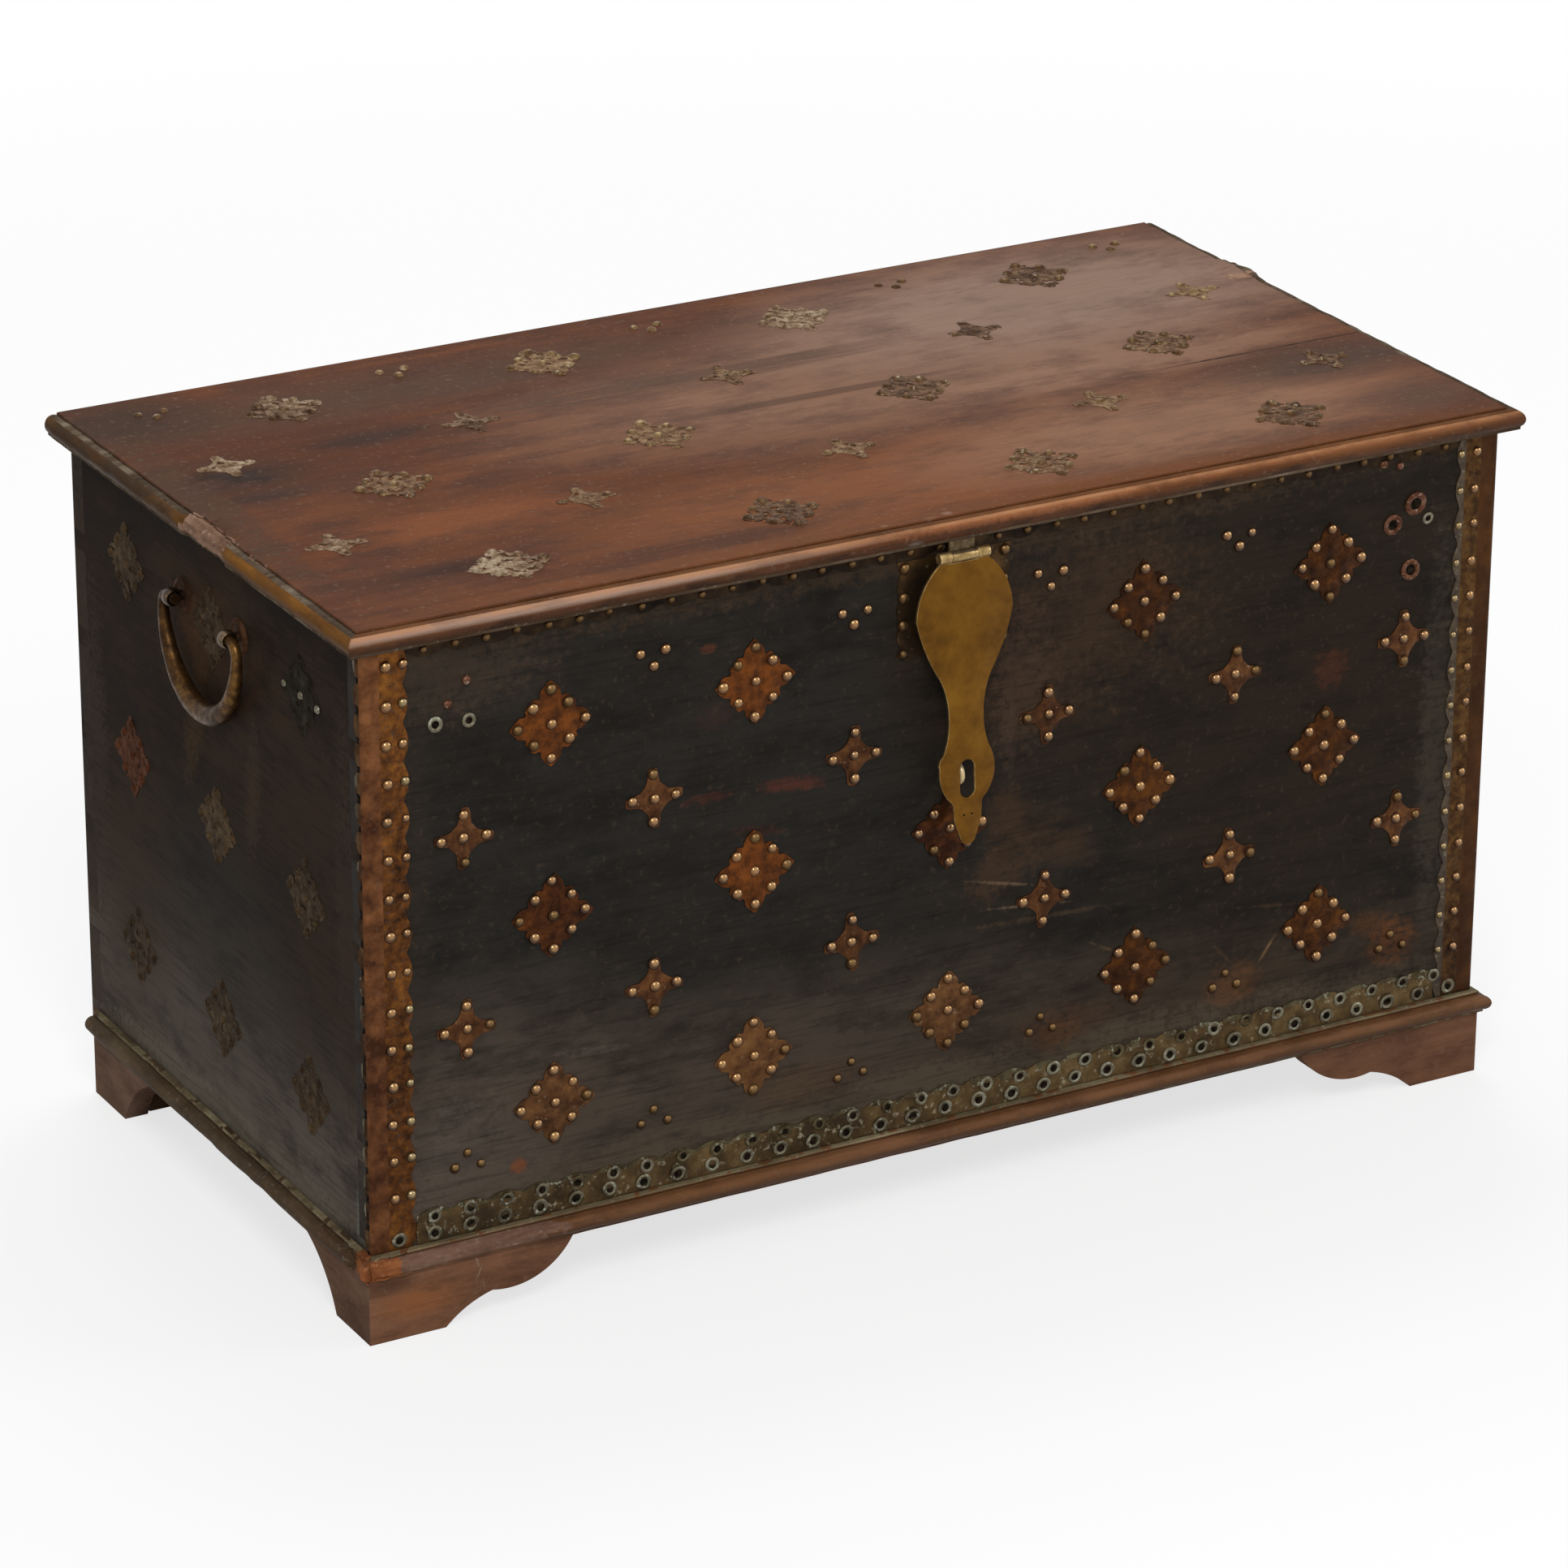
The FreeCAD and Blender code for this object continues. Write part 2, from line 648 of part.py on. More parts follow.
strap_foot = carcase_foot + strip_gap
strap_top = carcase_top - strip_gap
strap_height = strap_top - strap_foot
strap_face = scalloped_face(
    strap_height, strap_width, lambda u, v: vec(v - half_length, front_y, strap_foot + u)
)
strap_side = scalloped_face(
    strap_height, strap_return, lambda u, v: vec(-half_length, front_y + v, strap_foot + u)
)
strap_edge = block(-half_length - sheet, -half_length, front_y - sheet, front_y, strap_foot, strap_top)
strap_parts = [strap_side.extrude(vec(-sheet, 0, 0)), strap_edge]
nodes["corner_strap_left"] = joined(strap_face.extrude(vec(0, -sheet, 0)), strap_parts)
nodes["corner_strap_right"] = mirrored(nodes["corner_strap_left"])
strip_start = strap_width + strip_gap - half_length
strip_length = -2 * strip_start
base_strip = scalloped_face(
    strip_length, base_strip_width, lambda u, v: vec(strip_start + u, front_y, strap_foot + v)
)
nodes["front_base_strip"] = base_strip.extrude(vec(0, -sheet, 0))
top_strip = scalloped_face(
    strip_length, top_strip_width, lambda u, v: vec(strip_start + u, front_y, strap_top - v)
)
nodes["front_top_strip"] = top_strip.extrude(vec(0, -sheet, 0))
lock_top = strap_top - top_strip_width - strip_gap
lock_foot = lock_top - lock_plate_height
nodes["lock_plate"] = block(-lock_plate_half, lock_plate_half, front_y - sheet, front_y, lock_foot, lock_top)


# Studs: a domed head on a nail, with the flat of the head at the plane of the plate
def stud_shape(radius, height):
    ball = (radius * radius + height * height) / (2 * height)
    half_angle = math.asin(min(1, radius / ball)) / 2
    crown = (ball * math.sin(half_angle), height - ball + ball * math.cos(half_angle))
    steps = [
        (0, -stud_shank),
        (stud_shank_radius, -stud_shank),
        (stud_shank_radius, 0),
        (radius, 0),
        crown + (0, height),
    ]
    face = outline_face(steps, lambda u, v: vec(u, 0, v))
    return face.revolve(vec(0, 0, 0), vec(0, 0, 1), 360)


dome_stud = stud_shape(stud_radius, stud_height)
ring_stud = stud_shape(ring_stud_radius, ring_stud_height)
straight_up = vec(0, 0, 1)


def placed(shape, place, facing):
    copy = shape.copy()
    copy.Placement = FreeCAD.Placement(place, FreeCAD.Rotation(straight_up, facing))
    return copy


# The faces that carry ornament: each turns a place on the face into a point and names its outward way
def on_front(u, v, lift):
    return vec(u, front_y - lift, v)


def on_left(u, v, lift):
    return vec(-half_length - lift, u, v)


def on_lid(u, v, lift):
    return vec(u, v, lid_top + lift)


front_way = vec(0, -1, 0)
left_way = vec(-1, 0, 0)


def diamond_plate(u, v, on_face, way):
    tips = [(diamond_half, 0), (0, diamond_half), (-diamond_half, 0), (0, -diamond_half)]
    reach = diamond_half - diamond_lobe
    face = outline_face([(u + du, v + dv) for du, dv in tips], lambda a, b: on_face(a, b, 0))
    plate = face.extrude(way * sheet)
    lobes = []
    for du, dv in [(1, 0), (0, 1), (-1, 0), (0, -1)]:
        centre = on_face(u + du * reach, v + dv * reach, 0)
        lobes.append(Part.makeCylinder(diamond_lobe, sheet, centre, way))
    return joined(plate, lobes)


def star_plate(u, v, on_face, way):
    waist = star_half * star_waist_share / 2
    steps = []
    for du, dv in [(1, 0), (0, 1), (-1, 0), (0, -1)]:
        steps.append((u + du * star_half, v + dv * star_half))
        steps.append((u + (du - dv) * waist, v + (dv + du) * waist))
    return outline_face(steps, lambda a, b: on_face(a, b, 0)).extrude(way * sheet)


def diamond_studs(u, v, on_face, way):
    tip = diamond_half * diamond_stud_share
    side = diamond_half * diamond_side_share
    offsets = [(0, 0), (tip, 0), (0, tip), (-tip, 0), (0, -tip)]
    offsets += [(side, side), (-side, side), (-side, -side), (side, -side)]
    return [placed(dome_stud, on_face(u + du, v + dv, sheet), way) for du, dv in offsets]


def star_studs(u, v, on_face, way):
    tip = star_half * star_stud_share
    offsets = [(0, 0), (tip, 0), (0, tip), (-tip, 0), (0, -tip)]
    return [placed(dome_stud, on_face(u + du, v + dv, sheet), way) for du, dv in offsets]


def triplet_studs(u, v, on_face, way, down):
    offsets = [(-triplet_half, 0), (triplet_half, 0), (0, -triplet_half * down)]
    return [placed(dome_stud, on_face(u + du, v + dv, 0), way) for du, dv in offsets]


def grid(columns, rows):
    return [(u, v) for v in rows for u in columns]


# Front ornament: the lock plate takes the place of the middle diamond in the top row, and the
# middle row hangs from the staple, so that its middle diamond stays clear of the staple's legs
reach_x = half_length - front_column_margin
diamond_x = even(-reach_x, reach_x, front_columns)
middle_row_z = slot_z - middle_row_drop
diamond_z = [carcase_foot + front_foot_margin, middle_row_z, carcase_top - front_top_margin]
outer_star_x = half_length - outer_star_inset
star_x = [-outer_star_x] + between(diamond_x) + [outer_star_x]
front_diamonds = grid(diamond_x, diamond_z)
front_diamonds.remove((diamond_x[front_columns // 2], diamond_z[-1]))
front_stars = grid(star_x, between(diamond_z))
plates = [diamond_plate(u, v, on_front, front_way) for u, v in front_diamonds]
plates += [star_plate(u, v, on_front, front_way) for u, v in front_stars]
nodes["front_plates"] = Part.makeCompound(plates)
studs = []
for u, v in front_diamonds:
    studs += diamond_studs(u, v, on_front, front_way)
for u, v in front_stars:
    studs += star_studs(u, v, on_front, front_way)
for u in star_x:
    studs += triplet_studs(u, carcase_top - triplet_top, on_front, front_way, 1)
    studs += triplet_studs(u, carcase_foot + triplet_foot, on_front, front_way, -1)
lock_stud_x = lock_plate_half - lock_stud_inset
for v in even(lock_foot + lock_stud_inset, lock_top - lock_stud_inset, lock_stud_rows):
    for u in [-lock_stud_x, lock_stud_x]:
        studs.append(placed(dome_stud, on_front(u, v, sheet), front_way))
nodes["front_studs"] = Part.makeCompound(studs)

# Studs along the straps and strips
strap_studs = []
for v in spread(strap_foot + base_strip_width, strap_top, strip_stud_pitch):
    for inset in [strap_width - strap_stud_inset, strap_width - strap_stud_inset - strap_stud_spread]:
        for way in [-1, 1]:
            strap_studs.append(placed(dome_stud, on_front((half_length - inset) * way, v, sheet), front_way))
nodes["strap_studs"] = Part.makeCompound(strap_studs)
base_rows = [strap_foot + base_stud_inset, strap_foot + base_strip_width - base_stud_inset]
base_places = grid(spread(strip_start, -strip_start, strip_stud_pitch), base_rows)
nodes["base_strip_studs"] = Part.makeCompound(
    [placed(ring_stud, on_front(u, v, sheet), front_way) for u, v in base_places]
)
top_row = strap_top - top_strip_width / 2
top_places = grid(spread(strip_start, -strip_start, top_stud_pitch), [top_row])
nodes["top_strip_studs"] = Part.makeCompound(
    [placed(dome_stud, on_front(u, v, sheet), front_way) for u, v in top_places]
)

# End ornament: three columns of diamonds on each end
end_y = even(centre_y - end_column_pitch, centre_y + end_column_pitch, ornament_rows)
end_z = even(carcase_foot + front_foot_margin, carcase_top - end_top_margin, ornament_rows)
end_plates = []
end_studs = []
for u, v in grid(end_y, end_z):
    end_plates.append(diamond_plate(u, v, on_left, left_way))
    end_studs += diamond_studs(u, v, on_left, left_way)
nodes["left_end_plates"] = Part.makeCompound(end_plates)
nodes["left_end_studs"] = Part.makeCompound(end_studs)
nodes["right_end_plates"] = Part.makeCompound([mirrored(plate) for plate in end_plates])
nodes["right_end_studs"] = Part.makeCompound([mirrored(stud) for stud in end_studs])

# Lid ornament: rows of diamonds with stars between, and triplets along the back edge
lid_x = even(-reach_x, reach_x, lid_columns)
lid_y = even(centre_y - lid_row_pitch, centre_y + lid_row_pitch, ornament_rows)
lid_outer_x = half_length - lid_outer_star_inset
lid_star_x = [-lid_outer_x] + between(lid_x) + [lid_outer_x]
lid_stars = grid(lid_star_x, between(lid_y))
lid_plates = [diamond_plate(u, v, on_lid, straight_up) for u, v in grid(lid_x, lid_y)]
lid_plates += [star_plate(u, v, on_lid, straight_up) for u, v in lid_stars]
nodes["lid_plates"] = Part.makeCompound(lid_plates)
lid_studs = []
for u, v in grid(lid_x, lid_y):
    lid_studs += diamond_studs(u, v, on_lid, straight_up)
for u, v in lid_stars:
    lid_studs += star_studs(u, v, on_lid, straight_up)
for u in lid_star_x:
    lid_studs += triplet_studs(u, back_y - lid_triplet_inset, on_lid, straight_up, 1)
nodes["lid_studs"] = Part.makeCompound(lid_studs)


# Nails: headed ones through planks, cleats and the hasp's flange, and lost heads in the mouldings
def headed_nail(x, y, z, length):
    place = vec(x, y, z)
    head = rod(place, place + straight_up * nail_head, nail_head_radius)
    return joined(head, [rod(place, place + straight_up * length, nail_radius)])


def front_nails(out, z):
    nails = []
    for x in spread(-half_length, half_length, edging_nail_pitch):
        start = vec(x, front_y - out, z)
        nails.append(rod(start, start - front_way * edging_nail_length, nail_radius))
    return nails


def end_nails(out, z):
    nails = []
    for y in spread(front_y + board, back_y - board, edging_nail_pitch):
        start = vec(-half_length - out, y, z)
        nails.append(rod(start, start - left_way * edging_nail_length, nail_radius))
    return nails + [mirrored(solid) for solid in nails]


carcase_nails = front_nails(base_fillet, foot_height + base_nose_height)
carcase_nails += end_nails(base_fillet, foot_height + base_nose_height)
nail_line = board * nail_line_share
for x in spread(board - half_length, half_length - board, nail_pitch):
    for y in [front_y + nail_line, back_y - nail_line]:
        carcase_nails.append(headed_nail(x, y, foot_height, nail_length))
for y in even(front_y + plank_step / 2, back_y - plank_step / 2, plank_count):
    for x in [nail_line - half_length, half_length - nail_line]:
        carcase_nails.append(headed_nail(x, y, foot_height, nail_length))
nodes["carcase_nails"] = Part.makeCompound(carcase_nails)

lid_nails = front_nails(lid_quirk, carcase_top + lid_nose_height)
lid_nails += end_nails(lid_quirk, carcase_top + lid_nose_height)
cleat_nail_length = cleat_thickness + cleat_nail_bite
for y in spread(cleat_front, cleat_back, nail_pitch):
    for x in [cleat_width / 2 - cleat_x, cleat_x - cleat_width / 2]:
        lid_nails.append(headed_nail(x, y, carcase_top - cleat_thickness, cleat_nail_length))
for x in [-hasp_knuckle_half / 2, hasp_knuckle_half / 2]:
    lid_nails.append(headed_nail(x, front_y + board / 2, carcase_top, cleat_nail_bite))
nodes["lid_nails"] = Part.makeCompound(lid_nails)

os.makedirs("parts", exist_ok=True)
for name, shape in nodes.items():
    shape.exportStep("parts/" + name + ".step")
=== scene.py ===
import cmath
import math
import random

import bmesh
import bpy
from mathutils import Matrix, Vector, noise


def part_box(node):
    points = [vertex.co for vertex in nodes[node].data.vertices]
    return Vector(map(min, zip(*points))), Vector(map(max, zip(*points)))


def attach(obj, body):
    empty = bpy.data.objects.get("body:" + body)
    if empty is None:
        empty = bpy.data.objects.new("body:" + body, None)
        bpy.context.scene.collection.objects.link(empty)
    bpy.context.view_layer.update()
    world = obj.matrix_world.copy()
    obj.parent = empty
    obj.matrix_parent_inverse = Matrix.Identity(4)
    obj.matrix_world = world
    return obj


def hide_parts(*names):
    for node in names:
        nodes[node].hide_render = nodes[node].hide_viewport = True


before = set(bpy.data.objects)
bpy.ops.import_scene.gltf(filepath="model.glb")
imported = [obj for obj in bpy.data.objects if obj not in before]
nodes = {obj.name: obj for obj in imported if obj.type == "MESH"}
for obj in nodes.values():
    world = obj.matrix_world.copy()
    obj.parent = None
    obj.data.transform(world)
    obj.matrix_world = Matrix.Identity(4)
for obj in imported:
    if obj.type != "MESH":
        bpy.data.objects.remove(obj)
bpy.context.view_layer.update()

# Carcase boards: front, back and two ends of thick old teak, dovetailed together at the corners.
# Outside they are nearly black with wax, smoke and handling, and inside they are bare brown wood.
# The grain runs level round the chest, and the front carries rubs, dust and scratches from long use.
front_low, front_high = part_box("front_board")
half_length = front_high.x
front_y = front_low.y
carcase_foot = front_low.z
carcase_top = front_high.z
back_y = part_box("back_board")[1].y
centre_y = (front_y + back_y) / 2


def srgb(hex_colour):
    """An sRGB hex colour as linear red, green, blue and alpha."""
    parts = [int(hex_colour[start : start + 2], 16) / 255 for start in (1, 3, 5)]
    return [c / 12.92 if c <= 0.04045 else ((c + 0.055) / 1.055) ** 2.4 for c in parts] + [1.0]


def add(tree, kind, inputs, stops=(), **settings):
    """Adds a shader node with its settings and colour stops, and sets or links its inputs."""
    node = tree.nodes.new("ShaderNode" + kind)
    for name, value in settings.items():
        setattr(node, name, value)
    for key, value in inputs.items():
        if isinstance(value, bpy.types.NodeSocket):
            tree.links.new(value, node.inputs[key])
        else:
            node.inputs[key].default_value = value
    for index, (position, shade) in enumerate(stops):
        elements = node.color_ramp.elements
        element = elements[index] if index < 2 else elements.new(position)
        element.position = position
        element.color = srgb(shade) if isinstance(shade, str) else (shade, shade, shade, 1.0)
    return node


def new_material(name):
    """A material with its node tree, its shader and its object coordinates."""
    material = bpy.data.materials.new(name)
    material.use_nodes = True
    tree = material.node_tree
    return material, tree, tree.nodes["Principled BSDF"], add(tree, "TexCoord", {})


def stain(tree, colour, pattern, stops, shade):
    """Lays a shade over a colour where a pattern is strong, and gives the new colour."""
    mask = add(tree, "ValToRGB", {"Fac": pattern}, stops=stops)
    mixed = add(tree, "Mix", {0: mask.outputs["Color"], 6: colour, 7: shade}, data_type="RGBA")
    return mixed.outputs[2]


# Marks (wear, stains and chips, and in places painted sheen, highlight or shadow) follow the grain, or come
# in specks, in clouds or as a smooth wash. Each kind has its raggedness, and the strengths at which it
# begins to show and is full
mark_kinds = {
    "streaks": (4.0, 0.16, 0.70),
    "grit": (4.0, 0.22, 0.66),
    "clouds": (4.0, 0.08, 0.80),
    "wash": (1.8, 0.05, 0.70),
}
bare_teak = ["#523a2a", "#664936"]


def teak(name, along, inward, shades, streak, pores, haze, flecks, shine, gloss, laid_marks=(), tints_by_facing=()):
    """Old teak: figure, mottling and pores, hazy stains, dust, laid marks, tints by facing, and bare wood
    inside.
    """
    material, tree, shader, where = new_material(name)
    # Figure is 16 mm wide and 420 mm long, and mottling 30 mm by 70 mm
    # Pores are drawn 2.4 mm wide, coarser than life, so that they show
    figure_size = [0.42 if axis == along else 0.016 for axis in "XYZ"]
    pore_size = [0.05 if axis == along else 0.0024 for axis in "XYZ"]
    mottle_size = [0.070 if axis == along else 0.030 for axis in "XYZ"]
    haze_size = 0.15
    fleck_size = 0.0055
    spot = where.outputs["Object"]
    figure_place = add(tree, "Mapping", {"Vector": spot, "Scale": [1 / size for size in figure_size]})
    figure = add(
        tree, "TexNoise",
        {"Vector": figure_place.outputs[0], "Scale": 1.0, "Detail": 7.0, "Distortion": 0.9},
    )
    pore_place = add(tree, "Mapping", {"Vector": spot, "Scale": [1 / size for size in pore_size]})
    pits = add(tree, "TexNoise", {"Vector": pore_place.outputs[0], "Scale": 1.0, "Detail": 3.0})
    mottle_place = add(tree, "Mapping", {"Vector": spot, "Scale": [1 / size for size in mottle_size]})
    mottle = add(
        tree, "TexNoise",
        {"Vector": mottle_place.outputs[0], "Scale": 1.0, "Detail": 9.0, "Roughness": 0.7},
    )
    clouds = add(
        tree, "TexNoise", {"Vector": spot, "Scale": 1 / haze_size, "Detail": 8.0, "Roughness": 0.65}
    )
    grit = add(
        tree, "TexNoise", {"Vector": spot, "Scale": 1 / fleck_size, "Detail": 5.0, "Roughness": 0.65}
    )
    tone = add(
        tree, "Mix", {0: streak, 2: mottle.outputs["Fac"], 3: figure.outputs["Fac"]}, data_type="FLOAT"
    )
    colour = add(
        tree, "ValToRGB", {"Fac": tone.outputs[0]},
        stops=[(0.34, shades[0]), (0.66, shades[2]), (0.5, shades[1])],
    ).outputs["Color"]
    colour = stain(tree, colour, clouds.outputs["Fac"], [(0.42, 0.0), (0.66, haze[1])], srgb(haze[0]))
    # Each laid mark is wear, a stain or a chip, or in places painted sheen, highlight or shadow
    for centre, reach, turn, mark_colour, share, kind in laid_marks:
        mark_place = add(
            tree, "Mapping", {"Vector": spot, "Location": centre, "Rotation": turn, "Scale": reach},
            vector_type="TEXTURE",
        )
        inside = add(tree, "TexGradient", {"Vector": mark_place.outputs[0]}, gradient_type="SPHERICAL")
        texture = {"streaks": figure, "grit": grit, "clouds": mottle, "wash": mottle}[kind]
        raggedness, faint, full = mark_kinds[kind]
        ragged = add(
            tree, "Math", {0: texture.outputs["Fac"], 1: raggedness, 2: 1 - raggedness / 2},
            operation="MULTIPLY_ADD",
        )
        held = add(tree, "Math", {0: ragged.outputs[0], 1: inside.outputs["Fac"]}, operation="MULTIPLY")
        colour = stain(tree, colour, held.outputs[0], [(faint, 0.0), (full, share)], srgb(mark_colour))
    # Tints by which way a face looks, broken up by the mottling. On the noses of the lid edging and base
    # moulding they are a painted highlight on the upper curve and painted shade underneath
    for way, tint_colour, share, faint, full in tints_by_facing:
        faced = add(tree, "VectorMath", {0: where.outputs["Normal"], 1: way}, operation="DOT_PRODUCT")
        facing_mask = add(
            tree, "ValToRGB", {"Fac": faced.outputs["Value"]}, stops=[(faint, 0.0), (full, share)]
        )
        patchy = add(tree, "MapRange", {"Value": mottle.outputs["Fac"], 1: 0.38, 2: 0.6, 3: 0.35, 4: 1.0})
        facing_share = add(
            tree, "Math", {0: facing_mask.outputs["Color"], 1: patchy.outputs["Result"]}, operation="MULTIPLY"
        )
        layers = {0: facing_share.outputs[0], 6: colour, 7: srgb(tint_colour)}
        colour = add(tree, "Mix", layers, data_type="RGBA").outputs[2]
    grime = srgb(shades[3])
    colour = stain(tree, colour, pits.outputs["Fac"], [(0.5, 0.0), (0.75, pores)], grime)
    colour = stain(tree, colour, mottle.outputs["Fac"], [(0.36, pores), (0.54, 0.0)], grime)
    colour = stain(tree, colour, grit.outputs["Fac"], [(0.58, 0.0), (0.76, flecks[1])], srgb(flecks[0]))
    facing = add(tree, "VectorMath", {0: where.outputs["Normal"], 1: inward}, operation="DOT_PRODUCT")
    bare_stops = [(0.3, bare_teak[0]), (0.7, bare_teak[1])]
    plain = add(tree, "ValToRGB", {"Fac": figure.outputs["Fac"]}, stops=bare_stops).outputs["Color"]
    colour = stain(tree, colour, facing.outputs["Value"], [(0.6, 0.0), (0.8, 1.0)], plain)
    tree.links.new(colour, shader.inputs["Base Color"])
    polish = add(
        tree, "MapRange",
        {"Value": mottle.outputs["Fac"], 1: 0.35, 2: 0.65, 3: shine - 0.06, 4: shine + 0.12},
    )
    tree.links.new(polish.outputs["Result"], shader.inputs["Roughness"])
    shader.inputs["Specular IOR Level"].default_value = gloss
    relief = add(
        tree, "Bump", {"Height": pits.outputs["Fac"], "Strength": pores * 0.6, "Distance": 0.0006}
    )
    dents = add(tree, "Bump", {"Height": mottle.outputs["Fac"], "Strength": 0.25, "Distance": 0.002})
    tree.links.new(relief.outputs["Normal"], dents.inputs["Normal"])
    tree.links.new(dents.outputs["Normal"], shader.inputs["Normal"])
    return material


def dress(names, material):
    """Gives CAD pieces their material."""
    for name in names:
        nodes[name].data.materials.clear()
        nodes[name].data.materials.append(material)


def marks(axis, plane, rows, depth=0.3):
    """Marks on a flat face, wear and stains and in places painted light: each row has a place, reach and
    turn on it, then a colour, strength and kind.
    """
    across = "XYZ".index(axis)
    laid_marks = []
    for u, v, reach_u, reach_v, turn, colour, share, kind in rows:
        centre = [u, v]
        reach = [reach_u, reach_v]
        tilt = [0, 0]
        for values, value in ((centre, plane), (reach, depth), (tilt, turn)):
            values.insert(across, value)
        laid_marks.append((centre, reach, tilt, colour, share, kind))
    return laid_marks


black_patina = ["#1a1613", "#221e1a", "#2b2620", "#110e0b"]
front_rubs = [
    (-0.26, 0.33, 0.55, 0.30, 0, "#24221f", 0.7, "wash"),
    (0.10, 0.45, 0.20, 0.16, 0, "#2b1f15", 0.8, "clouds"),
    (0.33, 0.40, 0.32, 0.30, 0, "#261d15", 0.8, "clouds"),
    (-0.41, 0.15, 0.24, 0.16, 0, "#4a4037", 0.8, "wash"),
    (-0.43, 0.13, 0.14, 0.09, 0, "#5a5048", 0.6, "grit"),
    (-0.15, 0.14, 0.42, 0.11, 0, "#453b32", 0.8, "wash"),
    (0.25, 0.12, 0.40, 0.08, 0, "#3b3026", 0.8, "wash"),
    (0.0, 0.104, 0.70, 0.030, 0, "#4a4034", 0.8, "grit"),
    (-0.43, 0.530, 0.14, 0.06, 0, "#382e25", 0.8, "grit"),
    (0.0, 0.548, 0.70, 0.020, 0, "#3a2d21", 0.8, "grit"),
    (-0.455, 0.32, 0.018, 0.30, 0, "#30281f", 0.4, "grit"),
    (0.452, 0.30, 0.024, 0.28, 0, "#3d362d", 0.6, "grit"),
    (-0.213, 0.387, 0.034, 0.007, 0, "#48271e", 0.6, "grit"),
    (-0.140, 0.384, 0.044, 0.010, 0.12, "#4d2a20", 0.7, "grit"),
    (-0.170, 0.352, 0.034, 0.007, 0.2, "#40251d", 0.6, "grit"),
    (-0.205, 0.452, 0.028, 0.016, 0, "#33241e", 0.6, "grit"),
    (-0.212, 0.508, 0.010, 0.006, 0, "#55301f", 0.7, "grit"),
    (0.130, 0.470, 0.170, 0.120, 0, "#3b2c20", 0.6, "grit"),
    (0.062, 0.425, 0.050, 0.100, 0, "#453428", 0.5, "grit"),
    (0.350, 0.385, 0.026, 0.028, 0, "#45261a", 0.6, "grit"),
    (0.052, 0.385, 0.012, 0.050, 0, "#42342a", 0.4, "grit"),
    (0.085, 0.226, 0.100, 0.0035, 0.05, "#4a3a2b", 0.5, "grit"),
    (0.155, 0.181, 0.040, 0.0025, 0.5, "#55442f", 0.5, "grit"),
    (0.050, 0.275, 0.060, 0.032, -0.5, "#3d2d21", 0.8, "grit"),
    (0.088, 0.298, 0.070, 0.030, 0.6, "#3f2e20", 0.7, "clouds"),
    (0.052, 0.312, 0.030, 0.050, 0, "#3a2a1d", 0.7, "grit"),
    (0.050, 0.262, 0.050, 0.0022, 0.25, "#66523f", 0.7, "grit"),
    (0.075, 0.238, 0.055, 0.0022, 0.12, "#66523f", 0.7, "grit"),
    (0.110, 0.130, 0.070, 0.025, 0, "#453326", 0.7, "grit"),
    (-0.130, 0.130, 0.080, 0.030, 0, "#4a3829", 0.6, "grit"),
    (0.298, 0.152, 0.018, 0.0022, -0.95, "#7d5f42", 0.7, "clouds"),
    (0.405, 0.150, 0.045, 0.018, 0.3, "#55361f", 0.6, "grit"),
    (-0.375, 0.118, 0.011, 0.010, 0, "#75442a", 0.8, "grit"),
    (0.267, 0.128, 0.040, 0.028, 0, "#5a3a22", 0.6, "grit"),
    (0.420, 0.132, 0.036, 0.030, 0, "#5c3820", 0.7, "grit"),
    (0.100, 0.122, 0.034, 0.024, 0, "#563a24", 0.6, "grit"),
    (0.300, 0.190, 0.050, 0.0024, 0.15, "#4d3a29", 0.5, "grit"),
    (0.255, 0.158, 0.030, 0.0024, 0.8, "#4f3c2b", 0.5, "grit"),
    (-0.310, 0.200, 0.045, 0.006, 0.1, "#544a42", 0.6, "grit"),
]
front_teak = teak(
    "dark_teak_front", along="X", inward=(0, 1, 0), shades=black_patina, streak=0.3, pores=0.42,
    haze=("#2a231c", 0.5), flecks=("#463a2e", 0.55), shine=0.5, gloss=0.05,
    laid_marks=marks("Y", front_y, front_rubs),
    tints_by_facing=[((side, 0, 0), "#1f1711", 1.0, 0.7, 0.95) for side in (-1, 1)],
)
left_marks_and_shadow = [
    (0.00, 0.12, 0.50, 0.17, 0, "#5c534b", 0.9, "wash"),
    (-0.02, 0.24, 0.30, 0.14, 0, "#302c28", 0.7, "wash"),
    (-0.17, 0.36, 0.12, 0.26, 0, "#33271e", 0.7, "clouds"),
    (0.17, 0.22, 0.10, 0.20, 0, "#382d23", 0.6, "clouds"),
    # Darker brown inside the bail's loop: a rust tint, and painted shadow of the bail
    (0.00, 0.47, 0.16, 0.10, 0, "#3a2a1e", 0.9, "clouds"),
    (0.05, 0.485, 0.06, 0.035, 0, "#4a3424", 0.7, "grit"),
    (0.04, 0.41, 0.025, 0.10, 0.3, "#40301f", 0.8, "grit"),
    (-0.06, 0.38, 0.020, 0.09, 0.1, "#3d2f25", 0.7, "grit"),
    (0.235, 0.30, 0.035, 0.22, 0, "#3b3029", 0.8, "grit"),
    (-0.22, 0.33, 0.030, 0.25, 0, "#382d25", 0.7, "grit"),
    (0.00, 0.084, 0.40, 0.020, 0, "#625c4f", 0.7, "grit"),
    (-0.235, 0.10, 0.014, 0.04, 0, "#6f7268", 0.5, "grit"),
]
end_patina = ["#1b1611", "#241d18", "#2f2720", "#120e0b"]
